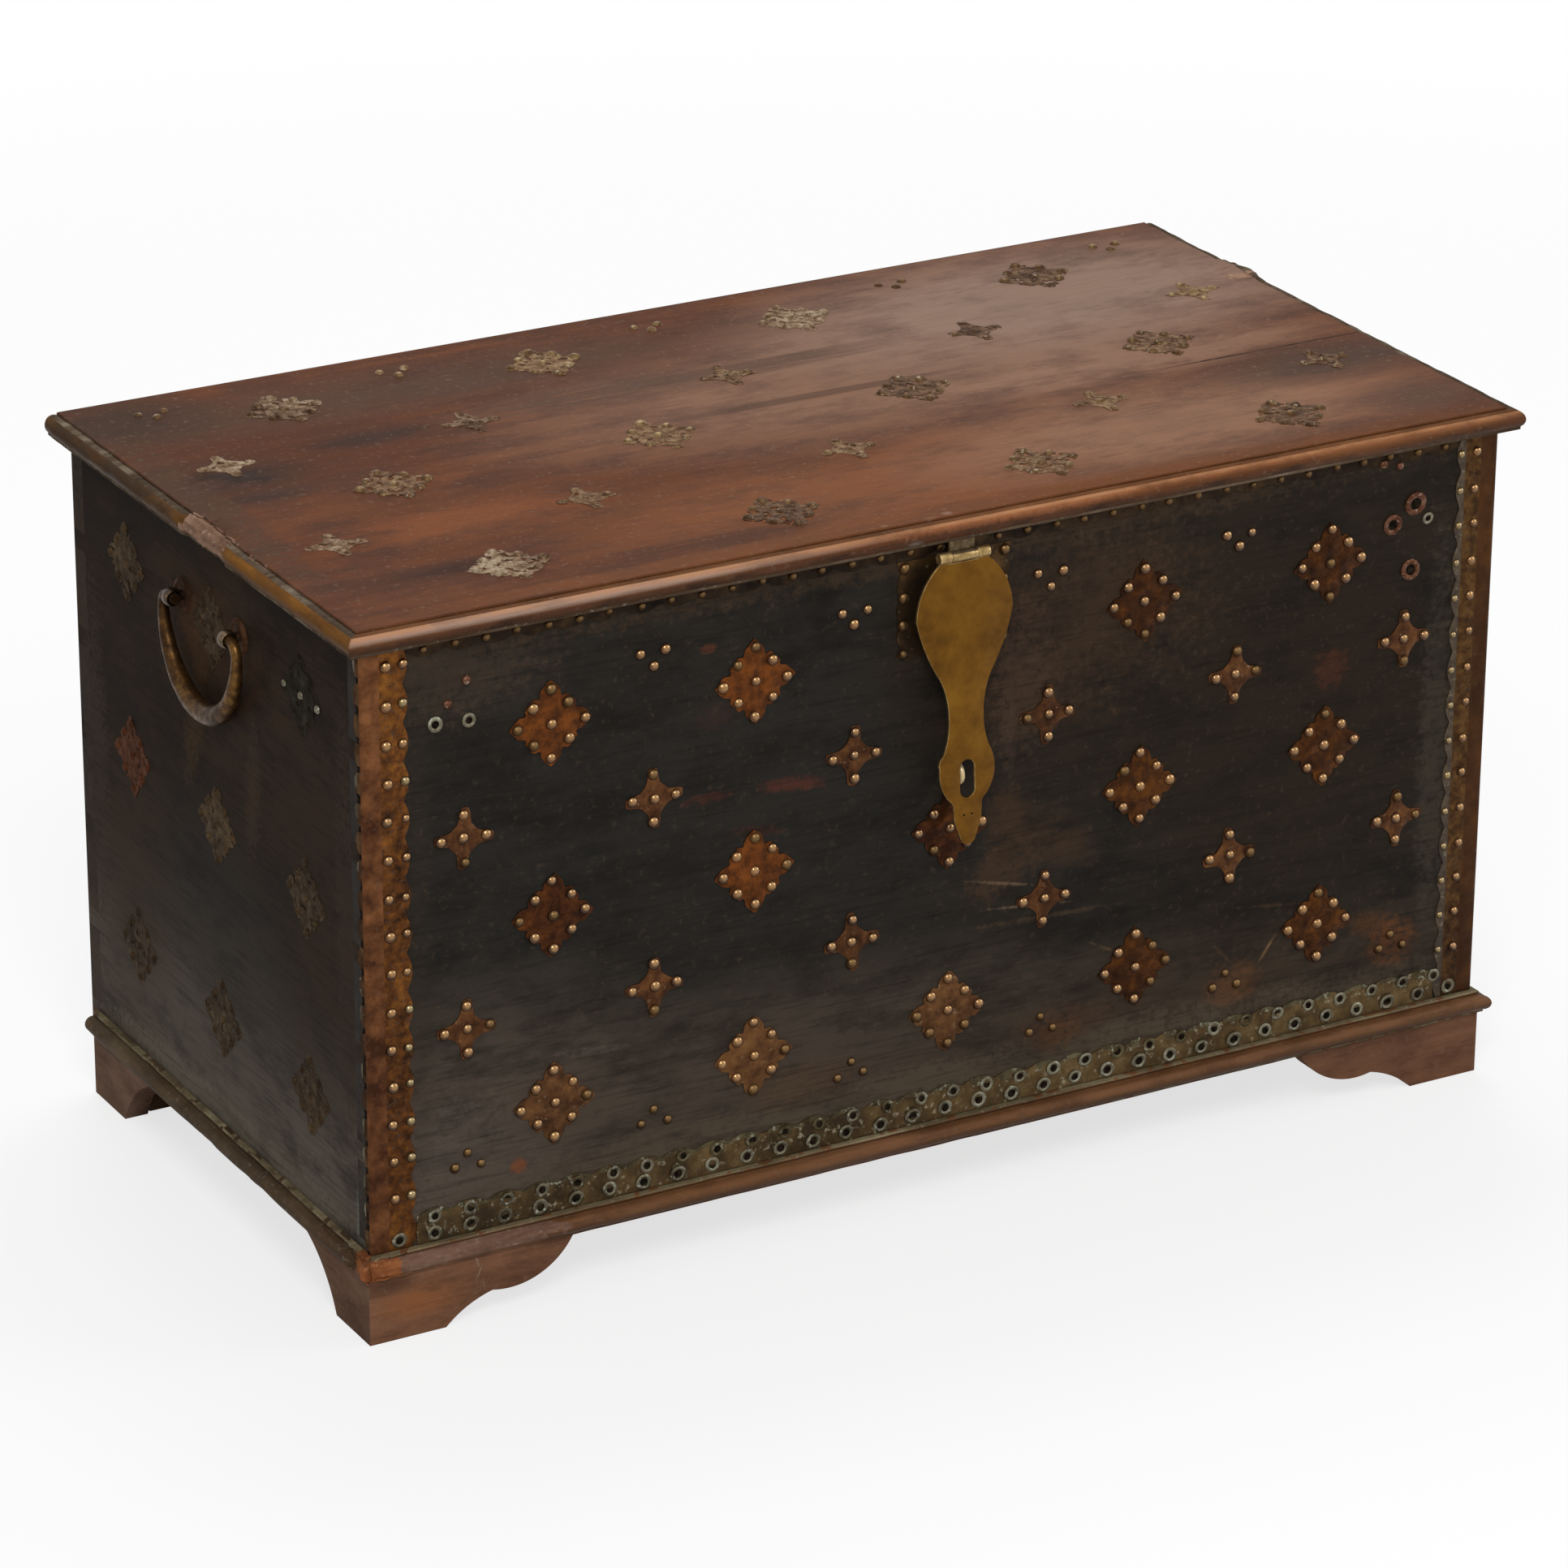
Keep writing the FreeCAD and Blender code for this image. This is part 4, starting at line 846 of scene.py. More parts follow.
def add_plate(bm, reach, pinned, place, crown, ragged=0.0, finish=0):
    """Adds one beaten plate: a square worked to its outline, dented, and swelling between its studs."""
    before = len(bm.faces)
    grid = bmesh.ops.create_grid(bm, x_segments=plate_segments, y_segments=plate_segments, size=1.0)
    made = grid["verts"]
    seed = Vector((luck.uniform(0, 50), luck.uniform(0, 50), 0))
    for vert in made:
        rim = max(abs(vert.co.x), abs(vert.co.y))
        angle = math.atan2(vert.co.y, vert.co.x) + math.pi / 4
        out = Vector((math.cos(angle), math.sin(angle), 0)) * rim * reach(angle)
        dent = noise.noise(out / plate_dent_size + seed)
        off_stud = min((out - Vector((x, y, 0))).length for x, y in pinned)
        swell = crown * (1 - rim**3) * (1 - math.exp(-((off_stud / stud_hold) ** 2)))
        out *= 1 + 0.04 * noise.noise(out / ragged_size + seed) * rim
        vert.co = out + Vector((0, 0, sheet + swell + dent * 0.0005))
    torn = []
    for face in {face for vert in made for face in vert.link_faces}:
        centre = face.calc_center_median()
        tear = noise.noise(centre / ragged_size + seed) + 0.3 * centre.length / diamond_half
        if ragged and tear > 1 - ragged:
            torn.append(face)
    bmesh.ops.delete(bm, geom=torn, context="FACES")
    made = [vert for vert in made if vert.is_valid]
    border = {edge for vert in made for edge in vert.link_edges if edge.is_boundary}
    drawn = bmesh.ops.extrude_edge_only(bm, edges=list(border))
    walls = [item for item in drawn["geom"] if isinstance(item, bmesh.types.BMVert)]
    for vert in walls:
        vert.co.z = -0.0001
    bmesh.ops.transform(bm, matrix=place, verts=made + walls)
    bm.faces.ensure_lookup_table()
    for face in bm.faces[before:]:
        face.material_index = finish


def at(point, turn, tilt=0.0, grow=1.0):
    """Where a small piece goes: its place on the chest, the way its face turns, and its own tilt."""
    lean = Matrix.Rotation(tilt, 4, "Z") @ Matrix.Scale(grow, 4)
    return Matrix.Translation(point) @ turn.to_4x4() @ lean


diamond_margin = 0.155
star_margin = 0.082
low_row_rise = 0.092
middle_row = 0.3195
top_row_drop = 0.086
dark_side = 0.1
front_reach = half_length - diamond_margin
diamond_x = even(-front_reach, front_reach, 5)
diamond_z = [carcase_foot + low_row_rise, middle_row, carcase_top - top_row_drop]
outer_star = half_length - star_margin
star_x = [-outer_star] + between(diamond_x) + [outer_star]
front_diamonds = [(x, z) for z in diamond_z for x in diamond_x if (x, z) != (diamond_x[2], diamond_z[2])]
front_stars = [(x, z) for z in between(diamond_z) for x in star_x]
plate_finishes = [plate_brass, dark_plate_brass, dusty_plate_brass, star_brass]
plates = bmesh.new()
for x, z in front_diamonds:
    dusty = z == diamond_z[0] and x < dark_side
    metal = dusty_plate_brass if dusty else dark_plate_brass if x > dark_side else plate_brass
    finish = plate_finishes.index(metal)
    place = at((x, front_y, z), front_turn, luck.uniform(-0.06, 0.06))
    add_plate(plates, diamond_reach, diamond_places(), place, diamond_crown, finish=finish)
for x, z in front_stars:
    finish = plate_finishes.index(star_brass)
    place = at((x, front_y, z), front_turn, luck.uniform(-0.08, 0.08))
    add_plate(plates, star_reach, star_places(), place, star_crown, finish=finish)
piece("front_diamond_and_star_plates", plates, plate_finishes, "carcase", "front_plates")

lock_low, lock_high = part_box("lock_plate")
lock_side_scallop = 0.07
lock_foot_scallop = 0.004
lock_dent_size = 0.012
lock_brass = brass("grimy_lock_brass", ["#231810", "#3d2c1a", "#5c4222"], ("#7d765c", 0.64), 0.018, 0.5)
lock_plate = bmesh.new()
bmesh.ops.create_grid(lock_plate, x_segments=40, y_segments=32, size=0.5)
for vert in lock_plate.verts:
    rim_x = abs(vert.co.x) * 2
    rim_z = abs(vert.co.y) * 2
    x = vert.co.x * (lock_high.x - lock_low.x)
    z = (lock_low.z + lock_high.z) / 2 + vert.co.y * (lock_high.z - lock_low.z)
    x *= 1 - lock_side_scallop * rim_x**4 * (1 - abs(math.cos(vert.co.y * 4 * math.pi)))
    if vert.co.y < 0:
        z += lock_foot_scallop * rim_z**4 * abs(math.sin(vert.co.x * 5 * math.pi))
    dent = noise.noise(Vector((x, z, 5)) / lock_dent_size) * dent_depth
    vert.co = Vector((x, front_y - sheet - max(-0.0004, dent), z))
face_front(lock_plate)
turn_edges_down(lock_plate, lambda co: Vector((co.x, front_y, co.z)))
piece("lock_plate", lock_plate, [lock_brass], "carcase", "lock_plate")

# Studs: small cast domes with a shank, driven through the plates, straps and strips into the wood.
# Their crowns are paler gold on their upper fronts, rubbed and a painted highlight. Those of the base strip
# are worn to hollow rings, green with age, over hollows painted dark as shade.
stud_radius = 0.0047
stud_height = 0.0034
ring_radius = 0.0068
ring_height = 0.0026
ring_wire = 0.27
# The studs' crowns are paler where they face this way, up and out of the front: wear, and a painted
# highlight
highlight_way = (0, -0.9, 0.43)
stud_brass = brass(
    "worn_and_highlit_stud_brass", ["#2f1a0a", "#533416", "#7a5228"], ("#5a4226", 0.7), 0.012, 0.24, coat=0.5,
    rubbed_and_lit=(highlight_way, "#a67f50"),
)
green_stud_brass = brass(
    "verdigris_stud_brass", ["#3a2c16", "#5e4a2a", "#80693f"], ("#868470", 0.6), 0.012, 0.3, coat=0.4,
    rubbed_and_lit=(highlight_way, "#a08c64"),
)
dull_stud_brass = brass(
    "dull_stud_brass", ["#2b1a0c", "#46301a", "#5f4526"], ("#54432c", 0.66), 0.012, 0.4,
    rubbed_and_lit=(highlight_way, "#7a5f3c"),
)
ring_brass = brass(
    "verdigris_ring_brass", ["#3d3524", "#665f4c", "#86826f"], ("#9c9d8c", 0.57), 0.012, 0.4, coat=0.3
)
red_washer_brass = brass(
    "red_washer_brass", ["#38200f", "#573422", "#705040"], ("#8a7464", 0.56), 0.01, 0.5
)
stud_finishes = [stud_brass, painted_hollow_shade, green_stud_brass, red_washer_brass, ring_brass, dull_stud_brass]
highlit_stud, hollow_stud, green_stud, washer_stud, ring_stud, dull_stud = range(6)


def dome_shape():
    """A low dome, cut from a sphere."""
    bm = bmesh.new()
    bmesh.ops.create_uvsphere(bm, u_segments=10, v_segments=8, radius=1.0)
    below = [vert for vert in bm.verts if vert.co.z < -0.01]
    bmesh.ops.delete(bm, geom=below, context="VERTS")
    bmesh.ops.scale(bm, verts=bm.verts, vec=(stud_radius, stud_radius, stud_height))
    return as_mesh(bm, "dome")


def spun(bm, axis, steps):
    """Spins a section once round an axis through the middle, and joins the seam."""
    geom = bm.verts[:] + bm.edges[:]
    bmesh.ops.spin(bm, geom=geom, cent=(0, 0, 0), axis=axis, angle=math.tau, steps=steps, use_merge=True)
    bmesh.ops.remove_doubles(bm, verts=bm.verts, dist=0.00001)


def ring_shape():
    """A stud whose crown has gone, leaving a ring spun from a small round section, over a hollow painted
    dark as shade.
    """
    bm = bmesh.new()
    upright = Matrix.Rotation(math.pi / 2, 4, "X")
    wire = bmesh.ops.create_circle(bm, segments=6, radius=ring_wire, matrix=upright)["verts"]
    bmesh.ops.translate(bm, verts=wire, vec=(1 - ring_wire, 0, 0))
    spun(bm, (0, 0, 1), 12)
    bmesh.ops.recalc_face_normals(bm, faces=bm.faces)
    hollow = bmesh.ops.create_circle(bm, segments=10, radius=1 - ring_wire, cap_ends=True)["verts"]
    for face in {face for vert in hollow for face in vert.link_faces}:
        face.material_index = hollow_stud
    bmesh.ops.scale(bm, verts=bm.verts, vec=(ring_radius, ring_radius, ring_height / ring_wire / 2))
    bmesh.ops.translate(bm, verts=bm.verts, vec=(0, 0, 0.0003))
    return as_mesh(bm, "ring")


dome = dome_shape()
ring = ring_shape()


def add_stud(bm, shape, point, turn, grow=1.0, finish=0):
    """Sets one stud, a little out of true as a hand drives it."""
    lean = Matrix.Rotation(luck.uniform(-0.15, 0.15), 4, "X")
    roll = lean @ Matrix.Rotation(luck.uniform(0, 6.28), 4, "Z")
    shift = turn @ Vector((luck.uniform(-0.0008, 0.0008), luck.uniform(-0.0008, 0.0008), 0))
    verts_before = len(bm.verts)
    faces_before = len(bm.faces)
    bm.from_mesh(shape)
    bm.verts.ensure_lookup_table()
    bm.faces.ensure_lookup_table()
    place = at(Vector(point) + shift, turn, 0.0, grow * luck.uniform(0.9, 1.08)) @ roll
    bmesh.ops.transform(bm, matrix=place, verts=bm.verts[verts_before:])
    for face in bm.faces[faces_before:]:
        if face.material_index == 0:
            face.material_index = finish


def triplet_places(down):
    """Three studs in a small triangle that points down or up."""
    half = 0.011
    return [(-half, 0), (half, 0), (0, -half * down)]


dull_patch_size = 0.03
top_triplet_drop = 0.046
low_triplet_rise = 0.056
lock_stud_inset = 0.006
stray_domes = [(-0.429, 0.506), (-0.413, 0.522), (0.408, 0.545), (0.392, 0.549)]
stray_rings = [
    (-0.440, 0.492, 0.9, ring_stud),
    (-0.412, 0.491, 0.9, ring_stud),
    (0.403, 0.496, 1.45, washer_stud),
    (0.424, 0.511, 1.5, washer_stud),
    (0.437, 0.496, 0.8, ring_stud),
    (0.422, 0.455, 1.3, washer_stud),
]
studs = bmesh.new()
plate_studs = [(x + dx, z + dz) for x, z in front_diamonds for dx, dz in diamond_places()]
plate_studs += [(x + dx, z + dz) for x, z in front_stars for dx, dz in star_places()]
for x, z in plate_studs:
    dulled = noise.noise(Vector((x, 0, z)) / dull_patch_size) > 0.25
    finish = dull_stud if dulled else highlit_stud
    add_stud(studs, dome, (x, front_y - sheet, z), front_turn, 1.0, finish)
for x in star_x[1:-1]:
    for dx, dz in triplet_places(1):
        add_stud(studs, dome, (x + dx, front_y, carcase_top - top_triplet_drop + dz), front_turn, 0.95)
for x in star_x:
    for dx, dz in triplet_places(-1):
        point = (x + dx, front_y, carcase_foot + low_triplet_rise + dz)
        add_stud(studs, dome, point, front_turn, 0.85, dull_stud)
for x, z in stray_domes:
    add_stud(studs, dome, (x, front_y, z), front_turn, 0.85, washer_stud)
for x, z, grow, finish in stray_rings:
    add_stud(studs, ring, (x, front_y, z), front_turn, grow, finish)
for z in even(lock_low.z + lock_stud_inset, lock_high.z - lock_stud_inset, 4):
    for x in (lock_low.x + lock_stud_inset, lock_high.x - lock_stud_inset):
        add_stud(studs, dome, (x, front_y - sheet, z), front_turn, 1.0, dull_stud)
piece("front_studs", studs, stud_finishes, "carcase", "front_studs")

strap_studs = bmesh.new()
strap_rows = round((strap_height - base_strip_width) / scallop_pitch)
strap_pitch = (strap_height - base_strip_width) / strap_rows
right_shrink = 0.85
inner_row = 0.020
outer_row = strap_width - 0.004
for step in range(strap_rows):
    z = strap_foot + base_strip_width + strap_pitch * (step + 0.5)
    for side in (-1, 1):
        dusty = luck.random() < (0.4 if side < 0 else 0.85)
        edge_finish = green_stud if dusty else highlit_stud
        shrink = 1.0 if side < 0 else right_shrink
        for inset, grow, finish in [(inner_row, 1.0, highlit_stud), (outer_row, 0.85, edge_finish)]:
            point = (side * (half_length - inset), front_y - sheet, z)
            add_stud(strap_studs, dome, point, front_turn, grow * shrink, finish)
piece("strap_studs", strap_studs, stud_finishes, "carcase", "strap_studs")

base_stud_finishes = [ring_brass, painted_hollow_shade, crusted_brass]
base_stud_inset = 0.0075
base_studs = bmesh.new()
base_count = round(2 * strip_half / scallop_pitch)
base_pitch = 2 * strip_half / base_count
for step in range(-1, base_count + 1):
    x = -strip_half + base_pitch * (step + 0.5)
    add_stud(base_studs, ring, (x, front_y - sheet, strap_foot + base_stud_inset), front_turn)
for step in range(base_count):
    x = -strip_half + base_pitch * (step + 0.5) * (1 + 0.5 / base_count)
    metal = ring_brass if luck.random() < 0.6 else crusted_brass
    point = (x, front_y - sheet, strap_foot + base_strip_width - base_stud_inset)
    add_stud(base_studs, ring, point, front_turn, 0.92, base_stud_finishes.index(metal))
piece("base_strip_studs", base_studs, base_stud_finishes, "carcase", "base_strip_studs")

top_stud_pitch = 0.026
top_studs = bmesh.new()
top_count = round(2 * strip_half / top_stud_pitch)
for step in range(top_count):
    x = -strip_half + 2 * strip_half * (step + 0.5) / top_count
    add_stud(top_studs, dome, (x, front_y - sheet, strap_top - top_strip_width / 2), front_turn, 0.75)
piece("top_strip_studs", top_studs, [dull_stud_brass], "carcase", "top_strip_studs")

# End plates and studs: nine diamonds on each end, sunk in wax and dirt until nearly as dark as the wood.
# Specks of olive and gold show through. One on the left end is rust red and one green with verdigris.
left_turn = Matrix(((0, 0, -1), (-1, 0, 0), (0, 1, 0)))
right_turn = Matrix(((0, 0, 1), (1, 0, 0), (0, 1, 0)))
waxed_brass = brass(
    "waxed_end_brass", ["#2a2018", "#3b2e20", "#51402a"], ("#665533", 0.6), 0.009, 0.6, metal=0.2,
    gloss=0.02,
)
rust_brass = brass(
    "rust_red_end_brass", ["#321c13", "#452718", "#573320"], ("#4f3d28", 0.62), 0.012, 0.6, metal=0.2,
    gloss=0.02,
)
green_brass = brass(
    "verdigris_end_brass", ["#1c1813", "#272219", "#35332a"], ("#69756a", 0.66), 0.010, 0.6, metal=0.1,
    gloss=0.01,
)
end_metals = [waxed_brass, rust_brass, green_brass, ring_brass]
odd_plates = {(-1, 2, 1): rust_brass, (-1, 0, 2): green_brass}
worn_skin = 0.0004
worn_crown = 0.0003
end_reach = 0.157
end_row_drop = 0.070
end_y = even(centre_y - end_reach, centre_y + end_reach, 3)
end_z = even(carcase_foot + low_row_rise, carcase_top - end_row_drop, 3)
for (side, name), turn in zip(ends, [left_turn, right_turn]):
    end_plates = bmesh.new()
    end_studs = bmesh.new()
    for row, z in enumerate(end_z):
        for column, y in enumerate(end_y):
            metal = odd_plates.get((side, column, row), waxed_brass)
            finish = end_metals.index(metal)
            place = at((side * (half_length - sheet + worn_skin), y, z), turn, luck.uniform(-0.05, 0.05))
            add_plate(end_plates, diamond_reach, diamond_places(), place, worn_crown, 0.5, finish)
            for du, dv in diamond_places():
                point = Vector((side * half_length, y, z)) + turn @ Vector((du, dv, 0))
                pale = metal == green_brass and dv == 0
                stud_metal = ring_brass if pale else metal
                add_stud(end_studs, dome, point, turn, 0.7, end_metals.index(stud_metal))
    plates_name = name + "_end_plates"
    piece(plates_name, end_plates, end_metals, "carcase", plates_name)
    studs_name = name + "_end_studs"
    piece(studs_name, end_studs, end_metals, "carcase", studs_name)

# Staple: a loop of brass wire through the front board, with its legs turned over inside.
# It shows in the hasp's slot, coloured bright all over, a painted highlight for the light it catches there.
staple_brass_lit = brass(
    "highlit_staple_brass", ["#b89a66", "#d8bf90", "#efdcb4"], ("#8a8468", 0.8), 0.01, 0.3, metal=0.3
)
dress(["staple"], staple_brass_lit)

# Bail handles: forged brass half rings, thick at the belly, with ends curled in to turn in cast eyes.
# Each eye's shank goes through a dished round rose and the end board. Hands have browned the bails.
handle_brass = brass(
    "brown_handle_brass", ["#2a1c0f", "#47301a", "#6b4d27"], ("#33261a", 0.6), 0.008, 0.4, metal=0.75,
    gloss=0.1,
)
eye_brass = brass(
    "worn_eye_brass", ["#33261a", "#5c4833", "#8f7a5c"], ("#6a5a42", 0.7), 0.012, 0.3, coat=0.3
)
rose_brass = brass(
    "rust_red_rose_brass", ["#2b1b11", "#412a1b", "#573a26"], ("#2b211a", 0.6), 0.010, 0.6, metal=0.3,
    gloss=0.03,
)
bail_radius = 0.066
bail_curl = 0.010
bail_end = 0.0042
bail_belly = 0.0085
bail_stub = 0.013
stub_y = bail_radius - bail_curl
handle_stand = 0.010
handle_drop = 0.060
axis_x = half_length + handle_stand
axis_z = carcase_top - handle_drop
eye_width = 0.009
eye_wall = 0.003
eye_play = 0.0003
eye_gap = 0.0015
eye_y = stub_y - eye_gap - eye_width / 2
eye_peen = 0.003
shank_radius = 0.004
board = 0.020
rose_profile = [(0.0042, 0.0014), (0.0085, 0.0012), (0.0108, 0.0026), (0.0132, 0.0022), (0.0150, 0.0)]


def bail_stations():
    """Places along a bail from stub to stub: how far across, how high, its course and its radius."""
    curl = [(stub_y - bail_stub, 0.0, 0.0)]
    curl_steps = 6
    for step in range(curl_steps):
        turn = math.pi / 2 * step / curl_steps
        curl.append((stub_y + bail_curl * math.sin(turn), bail_curl * (math.cos(turn) - 1), turn))
    stations = [(-out, rise, turn, bail_end) for out, rise, turn in curl]
    belly_steps = 32
    for step in range(belly_steps + 1):
        angle = math.pi * step / belly_steps
        radius = bail_end + (bail_belly - bail_end) * math.sin(angle)
        rise = -bail_curl - bail_radius * math.sin(angle)
        stations.append((-bail_radius * math.cos(angle), rise, math.pi / 2 + angle, radius))
    return stations + [(out, rise, math.tau - turn, bail_end) for out, rise, turn in reversed(curl)]


def section_at(side, out, rise, course, radius):
    """The matrix that puts a unit circle square across the bail at a station."""
    heading = Vector((0, -math.cos(course), -math.sin(course)))
    turn = Matrix((along_x, heading.cross(along_x), heading)).transposed()
    forged = radius * (1 + 0.06 * noise.noise(Vector((out, rise, side)) / 0.012))
    point = Vector((side * axis_x, centre_y + out, axis_z + rise))
    return Matrix.Translation(point) @ turn.to_4x4() @ Matrix.Scale(forged, 4)


for side, name in ends:
    bail = bmesh.new()
    stations = bail_stations()
    here = section_at(side, *stations[0])
    bmesh.ops.create_circle(bail, segments=14, radius=1.0, matrix=here)
    open_edges = bail.edges[:]
    for station in stations[1:]:
        there = section_at(side, *station)
        drawn = bmesh.ops.extrude_edge_only(bail, edges=open_edges)["geom"]
        verts = [item for item in drawn if isinstance(item, bmesh.types.BMVert)]
        edges = [item for item in drawn if isinstance(item, bmesh.types.BMEdge)]
        open_edges = [edge for edge in edges if set(edge.verts) <= set(verts)]
        bmesh.ops.transform(bail, matrix=there @ here.inverted(), verts=verts)
        here = there
    bmesh.ops.holes_fill(bail, edges=bail.edges)
    bmesh.ops.recalc_face_normals(bail, faces=bail.faces)
    handle = "handle_" + name
    piece(name + "_bail", bail, [handle_brass], handle, handle + "_bail")

eyes = bmesh.new()
roses = bmesh.new()
for side in (-1, 1):
    for y in (centre_y - eye_y, centre_y + eye_y):
        middle = Vector((side * axis_x, y, axis_z))
        eye = bmesh.new()
        ring_centre = bail_end + eye_play + eye_wall / 2
        oval = bmesh.ops.create_circle(eye, segments=10, radius=1.0)["verts"]
        bmesh.ops.scale(eye, verts=oval, vec=(eye_wall / 2, eye_width / 2, 1))
        bmesh.ops.translate(eye, verts=oval, vec=(ring_centre, 0, 0))
        spun(eye, (0, 1, 0), 20)
        bmesh.ops.recalc_face_normals(eye, faces=eye.faces)
        near = ring_centre + eye_wall / 4
        far = handle_stand + board + eye_peen
        shank_x = -side * (near + far) / 2
        sideways = Matrix.Translation((shank_x, 0, 0)) @ Matrix.Rotation(math.pi / 2, 4, "Y")
        bmesh.ops.create_cone(
            eye, cap_ends=True, segments=12, radius1=shank_radius, radius2=shank_radius, depth=far - near,
            matrix=sideways,
        )
        bmesh.ops.translate(eye, verts=eye.verts, vec=middle)
        eyes.from_mesh(as_mesh(eye, "eye"))
        rose = bmesh.new()
        corners = [rose.verts.new((side * lift, radius, 0)) for radius, lift in rose_profile]
        for near_corner, far_corner in zip(corners, corners[1:]):
            rose.edges.new((near_corner, far_corner))
        spun(rose, along_x, 24)
        rose.normal_update()
        if sum(face.normal.x for face in rose.faces) * side < 0:
            bmesh.ops.reverse_faces(rose, faces=rose.faces)
        bmesh.ops.translate(rose, verts=rose.verts, vec=(side * half_length, y, axis_z))
        roses.from_mesh(as_mesh(rose, "rose"))
piece("handle_eyes", eyes, [eye_brass], "carcase", "handle_eyes")
piece("handle_roses", roses, [rose_brass], "carcase", "handle_roses")

# Butt hinges, nails and screws: plain wrought iron, dark with age and browned by rust.
# The two hinges are let in and screwed between the lid and the back board.
iron, iron_tree, iron_shader, iron_where = new_material("dark_wrought_iron")
# Rust blooms, nine to 100 mm
bloom_size = 0.1 / 9
iron_spot = iron_where.outputs["Object"]
iron_rust = add(iron_tree, "TexNoise", {"Vector": iron_spot, "Scale": 1 / bloom_size, "Detail": 4.0})
iron_colour = add(
    iron_tree, "ValToRGB", {"Fac": iron_rust.outputs["Fac"]}, stops=[(0.4, "#2b2522"), (0.7, "#4a3325")]
)
iron_tree.links.new(iron_colour.outputs["Color"], iron_shader.inputs["Base Color"])
iron_shader.inputs["Metallic"].default_value = 0.7
iron_shader.inputs["Roughness"].default_value = 0.6
dress([name for name in nodes if name.startswith("hinge_")], iron)
dress(["carcase_nails", "lid_nails"], iron)

# Lid: a wide red-brown teak board on two cleats, with a moulded edging mitred round its front and ends.
# The top is orange where waxed, painted paler grey-brown to the right and back as a sheen, and stained at
# the left.
# A seam has opened near its right end. The edging is broken at the left and splintered at the right.
lid_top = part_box("lid_board")[1].z
lid_marks_and_sheen = [
    (-0.28, -0.12, 0.28, 0.12, 0, "#5a3420", 0.7, "clouds"),
    (-0.006, -0.249, 0.006, 0.005, 0, "#cdbdaa", 1.0, "wash"),
    (-0.022, -0.252, 0.009, 0.003, 0, "#a8917c", 0.8, "wash"),
    (-0.061, -0.250, 0.004, 0.003, 0, "#b8a48f", 0.9, "wash"),
    (-0.33, -0.09, 0.15, 0.05, 0, "#76462b", 0.8, "clouds"),
    (0.00, -0.17, 0.36, 0.10, 0, "#774a2f", 0.85, "wash"),
    # The next four rows, grey-brown from the middle to the right and back, are a painted sheen: a painted
    # reflection on the waxed top
    (0.12, 0.05, 0.44, 0.17, 0, "#7c5d4b", 0.9, "wash"),
    (0.33, 0.15, 0.36, 0.17, 0, "#846c5e", 0.9, "wash"),
    (0.30, -0.02, 0.26, 0.05, 0, "#866856", 0.6, "clouds"),
    (0.26, -0.16, 0.30, 0.11, 0, "#82604c", 0.9, "wash"),
    (-0.40, 0.10, 0.18, 0.12, 0, "#4b2c1d", 0.7, "wash"),
    (-0.22, 0.20, 0.40, 0.07, 0, "#4d382e", 0.9, "clouds"),
    (-0.05, 0.12, 0.28, 0.04, 0, "#543f34", 0.8, "streaks"),
    (-0.31, 0.11, 0.08, 0.025, 0, "#3a2a24", 0.9, "clouds"),
    (-0.445, 0.075, 0.08, 0.040, 0, "#2e2420", 0.95, "clouds"),
    (-0.44, 0.03, 0.06, 0.020, 0, "#3a2a24", 0.9, "clouds"),
    (-0.385, -0.175, 0.10, 0.022, 0, "#38251e", 0.9, "clouds"),
    (-0.20, -0.215, 0.16, 0.016, 0, "#4a2f22", 0.8, "streaks"),
    (0.44, -0.09, 0.15, 0.06, 0, "#45362e", 0.9, "clouds"),
    (0.46, -0.20, 0.07, 0.05, 0, "#513c31", 0.8, "clouds"),
    (0.03, 0.03, 0.18, 0.010, 0, "#503a2e", 0.7, "streaks"),
    (-0.47, 0.23, 0.11, 0.08, 0, "#3b2d25", 0.9, "clouds"),
    (-0.49, 0.02, 0.035, 0.28, 0, "#4a3528", 0.8, "grit"),
    (0.42, -0.048, 0.15, 0.0022, 0, "#1f130d", 1.0, "clouds"),
    (-0.05, front_y, 0.56, 0.028, 0, "#6b4127", 0.75, "streaks"),
    (0.25, front_y, 0.36, 0.022, 0, "#643c22", 0.8, "wash"),
]
lid_teak = teak(
    "red_teak_lid", along="X", inward=(0, 0, -1), shades=["#3f2519", "#563322", "#6c412a", "#2a180f"],
    streak=0.3, pores=0.22, haze=("#573726", 0.6), flecks=("#8a7564", 0.38), shine=0.45, gloss=0.015,
    laid_marks=marks("Z", lid_top, lid_marks_and_sheen, depth=0.1),
)
dress(["lid_board", "lid_cleat_left", "lid_cleat_right"], lid_teak)
level = (0, 0, 0)
